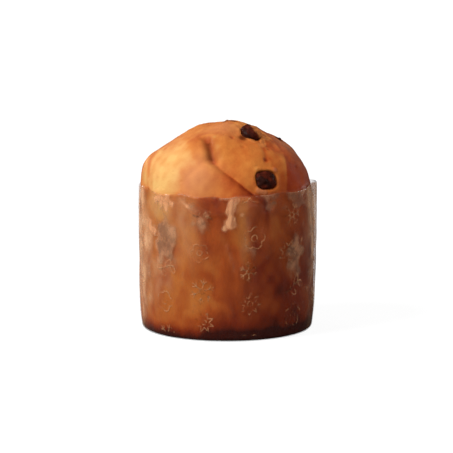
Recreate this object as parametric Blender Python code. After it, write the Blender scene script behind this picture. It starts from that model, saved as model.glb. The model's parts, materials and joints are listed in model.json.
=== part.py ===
"""Small domed panettone with chocolate chips, in its translucent paper case.

Metres, +Z up. The origin is the middle of the case's flat foot, and the front faces -Y.
Three kinds of piece: the loaf, one closed solid from its foot to the top of the dome; the paper
case, a thin cup that the loaf was baked in; and the chips that show in the crust of the dome.
"""
import math
from dataclasses import dataclass

import bmesh
import bpy
import numpy as np
from mathutils import Matrix, Vector

MM = 0.001

# Paper case: outside radius above the taper, how much narrower the foot is, and the turned corner.
CASE_RADIUS = 34.9 * MM
CASE_HEIGHT = 57.0 * MM
CASE_WALL = 0.5 * MM
FOOT_TAPER = 1.5 * MM
TAPER_FADE = 9.0 * MM
CORNER_RADIUS = 2.0 * MM
CRUMPLE = 0.17 * MM
CRUMPLE_WAVE = 13.0 * MM
CRUMPLE_STRETCH = 0.35  # the crumples run up the wall, so height counts for less
CRUMPLE_START = (2.0 * MM, 16.0 * MM)  # they grow from nothing between these heights
RIM_LIFT = 0.5 * MM  # the rim stands higher on the right than on the left
RIM_UNEVEN = 0.2 * MM
RIM_WAVE = 30.0 * MM
LAP_RISE = 0.22 * MM  # the glued overlap up the back of the case
LAP_AZIMUTH = math.radians(90)
LAP_HALF_WIDTH = math.radians(7)
LAP_EDGE = math.radians(2)
LOOSE = 0.7 * MM  # the paper stands away from the crust part way up the right side
LOOSE_HEIGHT = 27.0 * MM
LOOSE_REACH = 13.0 * MM
LOOSE_TURN = math.radians(34)
PLEAT_FADE = 7.0 * MM  # a pleat grows from nothing over this height above its lower end
DENT = 0.35 * MM  # the paper follows the tuck in the crust this far in

# Loaf: it presses on the paper up to the waist, and rounds over into the dome above it.
GAP = 0.3 * MM
RIM_FREE = (1.0 * MM, 4.0 * MM)  # heights over the rim between which the crust comes free of it
RIM_OVERHANG = 4.0 * MM
WAIST_HEIGHT = 50.0 * MM
WAIST_BLEND = 13.0 * MM
DOME_RADIUS = 31.6 * MM  # at the top; the dome widens by the skirt on its way to the waist
DOME_SKIRT = 2.6 * MM
DOME_LUMP = 0.25 * MM
DOME_LUMP_WAVE = 17.0 * MM
CRAG = 0.3 * MM  # broken crust beside the upper front chip
CRAG_WAVE = 5.5 * MM
CRAG_PLACE = (-40, 60)  # azimuth and elevation, and the reach across and up, in degrees
CRAG_REACH = (24, 13)
TUCK_DEPTH = 1.0 * MM  # an upright fold in the side crust, left of the front at the rim
TUCK_TOP = (57 * MM, math.radians(-96))  # height and azimuth of its two ends
TUCK_FOOT = (32 * MM, math.radians(-84.5))
TUCK_FADE = 8.0 * MM  # it fades in over this height on each side of its lower end
TUCK_WIDTH = 2.2 * MM

# Mesh density.
COLUMNS = 96
CROWDING = 0.35  # how much closer the columns stand at the front, where the folds are
CASE_COLUMNS = 80
SIDE_RINGS = 10
DOME_RINGS = 25
CORNER_RINGS = 3
WALL_RINGS = 7
FOOT_SHARES = (0.4, 0.75)  # radii of the rings inside the loaf's flat foot
BASE_SHARE = 0.5  # radius of the ring inside each face of the case's base

# Chips.
CHIP_CLEARANCE = 0.35 * MM
CHIP_SQUARENESS = 3.0
CHIP_ROUGHNESS = 0.07


def spherical(azimuth, elevation):
    """Unit directions from the dome's centre. Azimuth -90 degrees is the front, 0 the right."""
    return np.stack(
        [
            np.cos(elevation) * np.cos(azimuth),
            np.cos(elevation) * np.sin(azimuth),
            np.sin(elevation) + 0 * azimuth,
        ],
        axis=-1,
    )


def smooth(value, low, high):
    """0 below low, 1 above high, with an even curve between them."""
    t = np.clip((value - low) / (high - low), 0.0, 1.0)
    return t * t * (3 - 2 * t)


def ripple(points, wavelength, seed, waves=16):
    """Seeded unevenness of unit strength: a sum of plane waves through the points."""
    draw = np.random.RandomState(seed)
    total = np.zeros(points.shape[:-1])
    for _ in range(waves):
        heading = draw.normal(size=3)
        heading /= np.linalg.norm(heading)
        turns = 2 * math.pi / (wavelength * draw.uniform(0.7, 1.4))
        total += np.cos(points @ heading * turns + draw.uniform(0, 2 * math.pi))
    return total / math.sqrt(waves / 2)


# ---------------------------------------------------------------- strokes on the dome

@dataclass
class Stroke:
    """A fold or ridge drawn over the dome through (azimuth, elevation) points in degrees."""

    route: tuple
    rise: float  # over the line itself, negative for a valley
    width: float
    end_rise: float  # the rise at the last point
    lip: float = 0.0  # extra height on the right of the line as it is drawn
    lip_reach: float = 8.0 * MM

    def samples(self, count=48):
        """Evenly spaced unit directions along a smooth curve through the route's points."""
        angles = np.radians(np.array(self.route, float))
        knots = spherical(angles[:, 0], angles[:, 1])
        knots = np.concatenate([2 * knots[:1] - knots[1:2], knots, 2 * knots[-1:] - knots[-2:-1]])
        spans = len(knots) - 3
        place = np.linspace(0, spans, count)
        span = np.minimum(place.astype(int), spans - 1)
        t = (place - span)[:, None]
        a, b, c, d = (knots[span + i] for i in range(4))
        curve = 0.5 * (
            2 * b + (c - a) * t + (2 * a - 5 * b + 4 * c - d) * t**2 + (3 * b - a - 3 * c + d) * t**3
        )
        return curve / np.linalg.norm(curve, axis=1, keepdims=True)

    def height(self, direction):
        """How far the stroke lifts or sinks the crust in each direction."""
        line = self.samples()
        nearness = direction @ line.T
        nearest = nearness.argmax(axis=-1)
        away = DOME_RADIUS * np.arccos(np.clip(nearness.max(axis=-1), -1, 1))
        along = nearest / (len(line) - 1)
        core = (self.rise + (self.end_rise - self.rise) * along) * np.exp(-((away / self.width) ** 2))
        if not self.lip:
            return core
        heading = np.gradient(line, axis=0)
        side = np.einsum("...k,...k->...", np.cross(heading, line)[nearest], direction - line[nearest])
        side = side * DOME_RADIUS / (self.width * np.linalg.norm(heading[nearest], axis=-1))
        side = smooth(side, -0.4, 1)
        ends = smooth(along, 0, 0.12) * smooth(1 - along, 0, 0.12)
        return core + self.lip * side * ends * np.exp(-away / self.lip_reach)


STROKES = (
    # The deep nick where one fold of dough tucks under the next.
    Stroke(((-117, 57), (-110, 50.5), (-105, 44.5), (-102, 38)), -1.9 * MM, 1.8 * MM, -1.5 * MM),
    # The seam that runs from the nick down to the paper.
    Stroke(
        ((-106, 40), (-96, 32.5), (-86, 25.5), (-74, 15.5), (-62, 6)),
        -1.2 * MM, 2.1 * MM, -0.9 * MM, lip=1.0 * MM, lip_reach=9 * MM,
    ),
    # The soft ridge that parts the pale left side from the front.
    Stroke(((-113, 56), (-127, 34), (-134, 10)), 0.9 * MM, 7.0 * MM, 0.5 * MM),
    # Shallow stretch folds on the right and round the back.
    Stroke(((-38, 52), (-30, 38), (-26, 20)), -0.7 * MM, 2.4 * MM, -0.4 * MM),
    Stroke(((70, 62), (96, 48), (118, 30), (126, 12)), -1.2 * MM, 2.2 * MM, -0.8 * MM, lip=0.8 * MM),
    Stroke(((10, 66), (38, 52), (52, 30)), -0.8 * MM, 2.6 * MM, -0.5 * MM),
)


# Azimuth, elevation, rise, and reach across and up, all but the rise in degrees.
SWELLINGS = (
    (182, 27, 3.0 * MM, 50, 12.5),  # the shoulder that hangs out over the paper on the left
    (180, 62, 0.1 * MM, 70, 14),
    (0, 33, 0.8 * MM, 40, 16),
    (70, 26, 0.9 * MM, 40, 16),
    (-8, 62, -0.8 * MM, 40, 12),
    (16, 66, 0.9 * MM, 16, 4.5),  # the broken crust behind the upper front chip
)


def bulge(direction, azimuth, elevation, rise, across, up):
    """A round swelling of the dome; across and up are its reach in degrees."""
    phi = np.degrees(np.arctan2(direction[..., 1], direction[..., 0]))
    turn = (phi - azimuth + 180) % 360 - 180
    lift = np.degrees(np.arcsin(np.clip(direction[..., 2], -1, 1))) - elevation
    return rise * np.exp(-((turn / across) ** 2) - (lift / up) ** 2)


def dome_reach(direction):
    """Distance from the dome's centre, which is on the axis at waist height, to the crust."""
    reach = DOME_RADIUS + DOME_SKIRT * (1 - direction[..., 2])
    for swelling in SWELLINGS:
        reach = reach + bulge(direction, *swelling)
    reach = reach + DOME_LUMP * ripple(DOME_RADIUS * direction, DOME_LUMP_WAVE, seed=11)
    crags = ripple(DOME_RADIUS * direction, CRAG_WAVE, seed=31)
    reach = reach + crags * bulge(direction, *CRAG_PLACE, CRAG, *CRAG_REACH)
    for stroke in STROKES:
        reach = reach + stroke.height(direction)
    return reach


# ---------------------------------------------------------------- radii of the paper and the side

def on_wall(azimuth, height, stretch):
    """Points on the case's nominal wall, with the height scaled so that a ripple runs upwards."""
    return np.stack(
        [CASE_RADIUS * np.cos(azimuth), CASE_RADIUS * np.sin(azimuth), height * stretch], axis=-1
    )


def corner_inset(height, radius):
    """How far a rounded bottom corner of this radius has drawn in at a height above the foot."""
    down = np.clip(1 - height / radius, 0, 1)
    return radius * (1 - np.sqrt(1 - down**2))


# Pleats that stand out from the wall and run down from the rim: azimuth at the rim and at the
# lower end, height of the lower end, rise and half-width. Azimuths are in degrees.
PLEATS = (
    (-87, -86, 43 * MM, 0.45 * MM, 1.9 * MM),
    (-76, -73, 28 * MM, 0.35 * MM, 2.4 * MM),
    (-124, -120, 36 * MM, 0.28 * MM, 2.4 * MM),
    (-41, -46, 34 * MM, 0.30 * MM, 2.6 * MM),
    (-8, -3, 30 * MM, 0.40 * MM, 3.0 * MM),
    (33, 30, 38 * MM, 0.35 * MM, 2.6 * MM),
    (66, 70, 26 * MM, 0.30 * MM, 2.8 * MM),
    (118, 114, 40 * MM, 0.35 * MM, 2.4 * MM),
    (150, 154, 30 * MM, 0.30 * MM, 2.8 * MM),
    (-163, -160, 42 * MM, 0.25 * MM, 2.6 * MM),
)

# Where the cut edge of the paper stands higher, or lower if negative: azimuth of the middle and
# reach on each side of it in degrees, and lift.
RIM_LIFTS = (
    (-173, 12, 0.5 * MM),
    (-158, 10, 1.6 * MM),
    (-121, 6, 0.6 * MM),
    (-110, 8, -0.5 * MM),
    (-91, 5, -0.5 * MM),
    (-83, 7, 0.6 * MM),
    (-70, 6, 0.9 * MM),
    (-56, 7, 0.8 * MM),
    (-17, 8, 1.3 * MM),
    (0, 12, 0.4 * MM),
    (34, 10, -0.6 * MM),
    (75, 12, 0.5 * MM),
    (112, 9, -0.5 * MM),
    (140, 12, 0.8 * MM),
    (160, 8, 0.4 * MM),
)

# Where the crust sinks away from the paper: azimuth and height of the middle, depth, and reach
# across and up. Azimuths and the reach across are in degrees.
HOLLOWS = (
    (-133, 40 * MM, 0.9 * MM, 10, 10 * MM),
    (-106, 48 * MM, 0.8 * MM, 9, 8 * MM),
    (-58, 54 * MM, 0.5 * MM, 15, 5 * MM),
    (-41, 33 * MM, 0.7 * MM, 8, 9 * MM),
    (-8, 42 * MM, 0.7 * MM, 10, 13 * MM),
    (-160, 14 * MM, 0.5 * MM, 12, 9 * MM),
    (24, 48 * MM, 0.7 * MM, 12, 8 * MM),
    (62, 33 * MM, 0.9 * MM, 12, 9 * MM),
    (106, 20 * MM, 0.7 * MM, 14, 8 * MM),
    (122, 47 * MM, 0.8 * MM, 11, 8 * MM),
    (158, 38 * MM, 0.8 * MM, 11, 11 * MM),
)


def turned_from(azimuth, middle):
    """Angle from the middle azimuth, between -pi and pi."""
    return (azimuth - middle + math.pi) % (2 * math.pi) - math.pi


def loose(azimuth, height):
    """1 where the paper stands furthest from the crust on the right, fading to 0 round it."""
    turn = turned_from(azimuth, 0) / LOOSE_TURN
    return np.exp(-(turn**2) - ((height - LOOSE_HEIGHT) / LOOSE_REACH) ** 2)


def pleats(azimuth, height):
    """How far the pleats lift the paper."""
    lifted = 0 * azimuth
    for at_rim, at_end, low, rise, width in PLEATS:
        middle = np.radians(at_end + (at_rim - at_end) * (height - low) / (CASE_HEIGHT - low))
        ridge = np.exp(-((turned_from(azimuth, middle) * CASE_RADIUS / width) ** 2))
        lifted = lifted + rise * ridge * smooth(height, low, low + PLEAT_FADE)
    return lifted


def hollows(azimuth, height):
    """How far the crust sinks away from the paper."""
    sunk = 0 * azimuth
    for middle, centre, depth, across, up in HOLLOWS:
        turn = np.degrees(turned_from(azimuth, math.radians(middle))) / across
        sunk = sunk + depth * np.exp(-(turn**2) - ((height - centre) / up) ** 2)
    return sunk


def smooth_radius(azimuth, height):
    """Outside radius of the paper, without its pleats and glued overlap."""
    taper = FOOT_TAPER * np.exp(-height / TAPER_FADE)
    crumple = ripple(on_wall(azimuth, height, CRUMPLE_STRETCH), CRUMPLE_WAVE, seed=5)
    radius = CASE_RADIUS - taper + CRUMPLE * crumple * smooth(height, *CRUMPLE_START)
    return radius - DENT * tuck(azimuth, height)


def paper_radius(azimuth, height):
    """Outside radius of the paper, without its glued overlap."""
    lifted = LOOSE * loose(azimuth, height) + pleats(azimuth, height)
    return smooth_radius(azimuth, height) + lifted


def lap(azimuth):
    """1 on the glued overlap at the back, 0 elsewhere."""
    turn = np.abs(turned_from(azimuth, LAP_AZIMUTH))
    return 1 - smooth(turn, LAP_HALF_WIDTH, LAP_HALF_WIDTH + LAP_EDGE)


def rim_height(azimuth):
    """Height of the cut edge of the paper."""
    uneven = ripple(on_wall(azimuth, 0 * azimuth, 1), RIM_WAVE, seed=8)
    height = CASE_HEIGHT + RIM_LIFT * np.cos(azimuth) + RIM_UNEVEN * uneven
    for middle, reach, lift in RIM_LIFTS:
        turn = np.degrees(turned_from(azimuth, math.radians(middle))) / reach
        height = height + lift * np.exp(-(turn**2))
    return height


def tuck(azimuth, height):
    """1 along the bottom of the upright fold in the side crust, 0 away from it."""
    (top, start), (foot, end) = TUCK_TOP, TUCK_FOOT
    middle = end + (start - end) * (height - foot) / (top - foot)
    fade = smooth(height, foot - TUCK_FADE, foot + TUCK_FADE)
    return fade * np.exp(-((turned_from(azimuth, middle) * CASE_RADIUS / TUCK_WIDTH) ** 2))


def side_radius(azimuth, height):
    """Radius of the crust below the waist, pressed against the paper apart from shallow hollows."""
    room = smooth_radius(azimuth, height) - CASE_WALL - GAP
    away = hollows(azimuth, height) + (TUCK_DEPTH - DENT) * tuck(azimuth, height)
    waist = dome_reach(spherical(azimuth, 0 * azimuth))
    over = smooth(height, WAIST_HEIGHT - WAIST_BLEND, WAIST_HEIGHT)
    return np.minimum(room, (room - away) * (1 - over) + waist * over)


# ---------------------------------------------------------------- rings of points

def ring_angles(count):
    """Azimuths of one ring's points, crowded towards the front."""
    turn = 2 * math.pi * (np.arange(count) + 0.5) / count
    return turn + CROWDING * np.sin(turn) - 1.5 * math.pi


def ring(azimuth, radius, height):
    """One ring of points from its radii and heights."""
    height = height + 0 * azimuth
    return np.stack([radius * np.cos(azimuth), radius * np.sin(azimuth), height], axis=-1)


def loaf_rings():
    """The loaf's rings from the middle of its foot to the top, each end a single point."""
    azimuth = ring_angles(COLUMNS)
    foot = CASE_WALL + GAP
    low = side_radius(azimuth, foot + CORNER_RADIUS + 0 * azimuth)
    rings = [ring(azimuth, (low - CORNER_RADIUS) * share, foot) for share in FOOT_SHARES]
    for step in range(CORNER_RINGS + 1):
        height = CORNER_RADIUS * (1 - math.cos(math.pi / 2 * step / CORNER_RINGS))
        rings.append(ring(azimuth, low - corner_inset(height, CORNER_RADIUS), foot + height))
    heights = np.linspace(foot + CORNER_RADIUS, WAIST_HEIGHT, SIDE_RINGS + 1)[1:-1]
    rings += [ring(azimuth, side_radius(azimuth, z + 0 * azimuth), z) for z in heights]
    for elevation in np.radians(np.linspace(0, 90, DOME_RINGS + 1)[:-1]):
        direction = spherical(azimuth, elevation + 0 * azimuth)
        points = dome_reach(direction)[:, None] * direction + [0, 0, WAIST_HEIGHT]
        rings.append(inside_paper(azimuth, points))
    top = float(dome_reach(np.array([0.0, 0.0, 1.0])))
    return [(0, 0, foot)] + rings + [(0, 0, WAIST_HEIGHT + top)]


def inside_paper(azimuth, points):
    """The points, drawn in where the crust would otherwise push through the paper's rim."""
    limit = smooth_radius(azimuth, points[:, 2]) - CASE_WALL - GAP
    limit = limit + RIM_OVERHANG * smooth(points[:, 2] - CASE_HEIGHT, *RIM_FREE)
    reach = np.hypot(points[:, 0], points[:, 1])
    return points * np.stack([np.minimum(1, limit / reach)] * 2 + [1 + 0 * reach], axis=-1)


def case_rings():
    """The case's rings: inside from the middle of its base up to the rim, then down outside."""
    azimuth = ring_angles(CASE_COLUMNS)
    rim = rim_height(azimuth)
    inner_corner = CORNER_RADIUS - CASE_WALL
    steps = [math.pi / 2 * step / CORNER_RINGS for step in range(CORNER_RINGS + 1)]
    shares = np.linspace(0, 1, WALL_RINGS + 1)[1:]
    inside, outside = [], []
    for step in steps:
        rise = inner_corner * (1 - math.cos(step))
        radius = paper_radius(azimuth, CORNER_RADIUS + 0 * azimuth) - CASE_WALL
        inside.append(ring(azimuth, radius - corner_inset(rise, inner_corner), CASE_WALL + rise))
        rise = CORNER_RADIUS * (1 - math.cos(step))
        radius = paper_radius(azimuth, CORNER_RADIUS + 0 * azimuth) + LAP_RISE * lap(azimuth) * math.sin(step)
        outside.append(ring(azimuth, radius - corner_inset(rise, CORNER_RADIUS), rise))
    for share in shares:
        height = CORNER_RADIUS + (rim - CORNER_RADIUS) * share
        radius = paper_radius(azimuth, height)
        inside.append(ring(azimuth, radius - CASE_WALL, height))
        outside.append(ring(azimuth, radius + LAP_RISE * lap(azimuth), height))
    base_inside = ring(azimuth, BASE_SHARE * CASE_RADIUS, CASE_WALL)
    base_outside = ring(azimuth, BASE_SHARE * CASE_RADIUS, 0.0)
    return [(0, 0, CASE_WALL), base_inside, *inside, *outside[::-1], base_outside, (0, 0, 0)]


# ---------------------------------------------------------------- building objects

def finish(name, color, roughness):
    """A plain material in the piece's own colour."""
    material = bpy.data.materials.new(name)
    material.use_nodes = True
    shader = material.node_tree.nodes["Principled BSDF"]
    shader.inputs["Base Color"].default_value = (*color, 1)
    shader.inputs["Roughness"].default_value = roughness
    return material


def add_object(name, bm, material, collection):
    """Turns the bmesh into a named, smooth-shaded object with outward faces."""
    bmesh.ops.recalc_face_normals(bm, faces=bm.faces)
    mesh = bpy.data.meshes.new(name)
    bm.to_mesh(mesh)
    bm.free()
    mesh.shade_smooth()
    mesh.set_sharp_from_angle(angle=math.radians(40))
    mesh.materials.append(material)
    made = bpy.data.objects.new(name, mesh)
    collection.objects.link(made)
    return made


def loft(rings):
    """A closed bmesh through rings of points, whose first and last entries are single points.

    Each four-sided patch is split from its upper left to its lower right, the way the dome's
    seam runs, so that the seam's bottom stays an even line.
    """
    bm = bmesh.new()
    first = bm.verts.new(rings[0])
    rows = [[bm.verts.new(point) for point in row] for row in rings[1:-1]]
    last = bm.verts.new(rings[-1])
    count = len(rows[0])
    for i in range(count):
        j = (i + 1) % count
        bm.faces.new((first, rows[0][i], rows[0][j]))
        for lower, upper in zip(rows, rows[1:]):
            bm.faces.new((lower[i], upper[i], lower[j]))
            bm.faces.new((upper[i], upper[j], lower[j]))
        bm.faces.new((rows[-1][i], last, rows[-1][j]))
    return bm


@dataclass
class Chip:
    """One chocolate chip set into the crust of the dome."""

    azimuth: float  # degrees
    elevation: float
    length: float
    width: float
    thickness: float
    turn: float  # degrees, of its length from the level direction
    proud: float  # how far its top stands above the crust
    taper: float  # how much narrower one end is, 0 to 1
    seed: int

    def shape(self, extra=0.0):
        """The chip's bmesh in place, grown on every side by extra."""
        bm = bmesh.new()
        bmesh.ops.create_icosphere(bm, subdivisions=2, radius=1.0)
        draw = np.random.RandomState(self.seed)
        half = np.array([self.length, self.width, self.thickness]) / 2 + extra
        for vert in bm.verts:
            at = np.array(vert.co)
            at /= (np.abs(at) ** CHIP_SQUARENESS).sum() ** (1 / CHIP_SQUARENESS)
            at[1] *= 1 - self.taper * (at[0] + 1) / 2
            at *= 1 + CHIP_ROUGHNESS * draw.uniform(-1, 1)
            vert.co = Vector(at * half)
        bm.transform(self.placement())
        return bm

    def placement(self):
        """The matrix that lays the chip on the crust, its thickness along the dome's radius."""
        out = spherical(np.radians(self.azimuth), np.radians(self.elevation))
        level = Vector((-math.sin(math.radians(self.azimuth)), math.cos(math.radians(self.azimuth)), 0))
        away = Vector(out)
        turned = Matrix.Rotation(math.radians(self.turn), 3, away) @ level
        axes = Matrix((turned, away.cross(turned), away)).transposed()
        centre = Vector((0, 0, WAIST_HEIGHT)) + away * (
            float(dome_reach(out)) + self.proud - self.thickness / 2
        )
        return Matrix.Translation(centre) @ axes.to_4x4()


# Azimuth, elevation, length, width, thickness, turn, proud, taper, seed.
CHIPS = (
    Chip(-45.5, 65.3, 8.6 * MM, 8.2 * MM, 6.8 * MM, 56, 2.6 * MM, 0.14, 1),
    Chip(-60, 22.6, 9.0 * MM, 8.0 * MM, 5.0 * MM, -2, 0.9 * MM, 0.08, 2),
    Chip(20, 88, 5.8 * MM, 4.8 * MM, 4.0 * MM, 60, 0.1 * MM, 0.30, 3),
    Chip(8, 50, 4.4 * MM, 3.8 * MM, 4.0 * MM, -25, 0.5 * MM, 0.20, 4),
    Chip(38, 27, 8.0 * MM, 6.4 * MM, 5.0 * MM, 35, 1.0 * MM, 0.35, 5),
    Chip(72, 46, 6.8 * MM, 6.0 * MM, 4.6 * MM, -40, 0.9 * MM, 0.15, 6),
    Chip(122, 54, 7.6 * MM, 6.2 * MM, 4.8 * MM, 70, 1.1 * MM, 0.45, 7),
    Chip(101, 20, 7.2 * MM, 6.6 * MM, 4.8 * MM, 5, 0.8 * MM, 0.20, 8),
    Chip(141, 27, 6.4 * MM, 5.4 * MM, 4.4 * MM, -15, 0.8 * MM, 0.30, 9),
)


def main():
    """Clears the scene and builds the case, the loaf with its pockets, and the chips."""
    for old in list(bpy.data.objects):
        bpy.data.objects.remove(old)
    scene = bpy.context.scene.collection
    crust = finish("crust", (0.55, 0.24, 0.07), 0.55)
    paper = finish("paper", (0.36, 0.16, 0.07), 0.4)
    chocolate = finish("chocolate", (0.03, 0.012, 0.008), 0.35)

    add_object("paper_case", loft(case_rings()), paper, scene)
    loaf = add_object("loaf", loft(loaf_rings()), crust, scene)

    pockets = bpy.data.collections.new("pockets")
    scene.children.link(pockets)
    for number, chip in enumerate(CHIPS, start=1):
        add_object(f"chip_{number}", chip.shape(), chocolate, scene)
        pocket = add_object(f"pocket_{number}", chip.shape(CHIP_CLEARANCE), crust, pockets)
        pocket.hide_render = True
        pocket.display_type = "WIRE"
    cut = loaf.modifiers.new("pockets", "BOOLEAN")
    cut.operation = "DIFFERENCE"
    cut.operand_type = "COLLECTION"
    cut.collection = pockets
    cut.solver = "EXACT"


main()
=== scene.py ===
"""Looks of a small domed panettone with chocolate chips, in its translucent paper case.

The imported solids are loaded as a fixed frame. Each piece here stands in the place of one of them,
with the same form, and adds the fine relief and the finish that the solids leave out.
Metres, +Z up. Azimuth -90 degrees is the front, towards the camera, and 0 is the right.
"""

import json
import logging
import math
from dataclasses import dataclass
from enum import Enum

import bmesh
import bpy
import numpy as np
from mathutils import Matrix, Vector

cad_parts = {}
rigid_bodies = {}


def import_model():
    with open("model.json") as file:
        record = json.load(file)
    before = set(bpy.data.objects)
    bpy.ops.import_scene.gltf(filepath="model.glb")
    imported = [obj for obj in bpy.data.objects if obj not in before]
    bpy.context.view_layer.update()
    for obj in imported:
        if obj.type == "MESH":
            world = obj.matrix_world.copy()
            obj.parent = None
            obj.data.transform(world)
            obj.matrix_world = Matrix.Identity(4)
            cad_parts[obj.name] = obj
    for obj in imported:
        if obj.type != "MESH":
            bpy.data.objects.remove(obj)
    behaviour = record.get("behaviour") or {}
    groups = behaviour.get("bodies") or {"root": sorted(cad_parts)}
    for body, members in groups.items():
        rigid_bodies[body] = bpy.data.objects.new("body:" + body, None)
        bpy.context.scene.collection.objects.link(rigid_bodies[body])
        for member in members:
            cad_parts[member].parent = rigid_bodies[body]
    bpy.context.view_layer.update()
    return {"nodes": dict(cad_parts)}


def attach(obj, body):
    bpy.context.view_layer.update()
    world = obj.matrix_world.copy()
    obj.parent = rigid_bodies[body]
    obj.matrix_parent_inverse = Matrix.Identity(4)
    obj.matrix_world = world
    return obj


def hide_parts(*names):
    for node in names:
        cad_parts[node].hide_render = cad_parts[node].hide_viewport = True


logging.basicConfig(level=logging.INFO, format="%(message)s")
LOG = logging.getLogger("panettone")

MM = 0.001
BODY = "root"
FRONT = -math.pi / 2  # azimuth of the side towards the camera
Array = np.ndarray
Colour = tuple[float, float, float]
Span = tuple[float, float]
Table = tuple[tuple[float, ...], ...]


# ---------------------------------------------------------------- numbers on curves and surfaces

def spherical(azimuth: Array, elevation: Array) -> Array:
    """Unit directions of these azimuths and elevations, in radians."""
    return np.stack(
        [
            np.cos(elevation) * np.cos(azimuth),
            np.cos(elevation) * np.sin(azimuth),
            np.sin(elevation) + 0 * azimuth,
        ],
        axis=-1,
    )


def ring(azimuth: Array, radius: Array | float, height: Array | float) -> Array:
    """One ring of points from its radii and heights."""
    return np.stack(
        [radius * np.cos(azimuth), radius * np.sin(azimuth), height + 0 * azimuth], axis=-1
    )


def smooth(value: Array, low: float, high: float) -> Array:
    """0 below low, 1 above high, with an even curve between them."""
    share = np.clip((value - low) / (high - low), 0.0, 1.0)
    return share * share * (3 - 2 * share)


def bell(value: Array) -> Array:
    """1 at 0, falling off evenly on both sides."""
    return np.exp(-(value**2))


def turned_from(azimuth: Array, middle: float | Array) -> Array:
    """Angle from the middle azimuth, between -pi and pi."""
    return (azimuth - middle + math.pi) % (2 * math.pi) - math.pi


def ripple(points: Array, wavelength: float, seed: int, waves: int = 16) -> Array:
    """Seeded unevenness of unit strength: a sum of plane waves through the points.

    Args:
        points: Places in metres, with x, y and z in the last axis.
        wavelength: Typical distance from crest to crest.
        seed: Chooses the waves.
        waves: How many are added up.

    Returns:
        One number for each point, mostly between -2 and 2.
    """
    draw = np.random.RandomState(seed)
    total = np.zeros(points.shape[:-1])
    for _ in range(waves):
        heading = draw.normal(size=3)
        heading /= np.linalg.norm(heading)
        turns = 2 * math.pi / (wavelength * draw.uniform(0.7, 1.4))
        total += np.cos(points @ heading * turns + draw.uniform(0, 2 * math.pi))
    return total / math.sqrt(waves / 2)


def crease_lines(points: Array, wavelength: float, width: float, seed: int) -> Array:
    """1 along wandering lines where a ripple crosses zero, falling to 0 on both sides of them."""
    return np.clip(1 - np.abs(ripple(points, wavelength, seed)) / width, 0, 1) ** 1.5


# ---------------------------------------------------------------- form of the dome

@dataclass(frozen=True)
class Line:
    """A smooth line over the dome through (azimuth, elevation) points in degrees."""

    route: tuple[Span, ...]

    def samples(self, count: int = 48) -> Array:
        """Evenly spaced unit directions along the line.

        Args:
            count: How many.

        Returns:
            The directions, one to a row.
        """
        angles = np.radians(np.array(self.route, float))
        knots = spherical(angles[:, 0], angles[:, 1])
        knots = np.concatenate([2 * knots[:1] - knots[1:2], knots, 2 * knots[-1:] - knots[-2:-1]])
        spans = len(knots) - 3
        place = np.linspace(0, spans, count)
        span = np.minimum(place.astype(int), spans - 1)
        t = (place - span)[:, None]
        a, b, c, d = (knots[span + i] for i in range(4))
        curve = 0.5 * (
            2 * b + (c - a) * t + (2 * a - 5 * b + 4 * c - d) * t**2
            + (3 * b - a - 3 * c + d) * t**3
        )
        return curve / np.linalg.norm(curve, axis=1, keepdims=True)

    def measure(self, direction: Array, radius: float) -> tuple[Array, ...]:
        """Where each direction lies from the line.

        Args:
            direction: Unit directions from the dome's centre.
            radius: Of the dome, which turns angles into distances.

        Returns:
            The distance from the line, the share of the way along it, and the distance to the right
            of it as it is drawn, negative on its left.
        """
        line = self.samples()
        nearness = direction @ line.T
        nearest = nearness.argmax(axis=-1)
        away = radius * np.arccos(np.clip(nearness.max(axis=-1), -1, 1))
        heading = np.gradient(line, axis=0)
        rightwards = np.cross(heading, line)[nearest]
        side = np.einsum("...k,...k->...", rightwards, direction - line[nearest])
        side = side * radius / np.linalg.norm(heading[nearest], axis=-1)
        return away, nearest / (len(line) - 1), side


@dataclass(frozen=True)
class Stroke:
    """A fold or ridge of the crust along a line, with a raised lip on its right if it has one."""

    line: Line
    rise: float
    width: float
    end_rise: float
    lip: float = 0.0
    lip_reach: float = 8.0 * MM
    bake: float = 0.0  # how much darker the crust is along it
    bake_reach: float = 0.8  # how far to each side, as a share of the width
    lip_ends: float = 0.12  # share of the line over which the lip starts and ends
    lip_step: Span = (-0.4, 1)  # where across the line it rises, in widths

    def height(self, direction: Array, radius: float) -> Array:
        """How far the stroke lifts or sinks the crust in each direction.

        Args:
            direction: Unit directions from the dome's centre.
            radius: Of the dome, in metres.

        Returns:
            Metres outwards, one for each direction.
        """
        away, along, side = self.line.measure(direction, radius)
        core = (self.rise + (self.end_rise - self.rise) * along) * bell(away / self.width)
        ends = smooth(along, 0, self.lip_ends) * smooth(1 - along, 0, self.lip_ends)
        step = smooth(side / self.width, *self.lip_step) * np.exp(-away / self.lip_reach)
        return core + self.lip * ends * step

    def browning(self, direction: Array, radius: float) -> Array:
        """How much darker the crust is baked along the stroke."""
        away = self.line.measure(direction, radius)[0]
        return self.bake * bell(away / (self.bake_reach * self.width))


# Azimuth, elevation, width and depth of single pits in the crust.
PITS = (
    (-83, 60, 0.9 * MM, 0.22 * MM),
    (-88, 48, 0.8 * MM, 0.15 * MM),
    (-72, 50, 0.9 * MM, 0.18 * MM),
    (-55, 37, 1.0 * MM, 0.30 * MM),
    (-43, 46, 0.8 * MM, 0.25 * MM),
    (-162, 41, 1.2 * MM, 0.25 * MM),
    (-24, 28, 0.7 * MM, 0.25 * MM),
    (28, 50, 1.0 * MM, 0.50 * MM),
    (60, 24, 0.8 * MM, 0.40 * MM),
    (84, 70, 0.9 * MM, 0.45 * MM),
    (110, 36, 1.1 * MM, 0.55 * MM),
    (160, 46, 0.8 * MM, 0.40 * MM),
)

# Azimuth, elevation, width and height of crumbs of crust that stand up beside the lower front chip.
CRUMBS = (
    (-67.0, 15.8, 1.4 * MM, 0.35 * MM),
    (-63.5, 14.2, 1.2 * MM, 0.30 * MM),
    (-51.0, 28.8, 1.1 * MM, 0.25 * MM),
)

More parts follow.
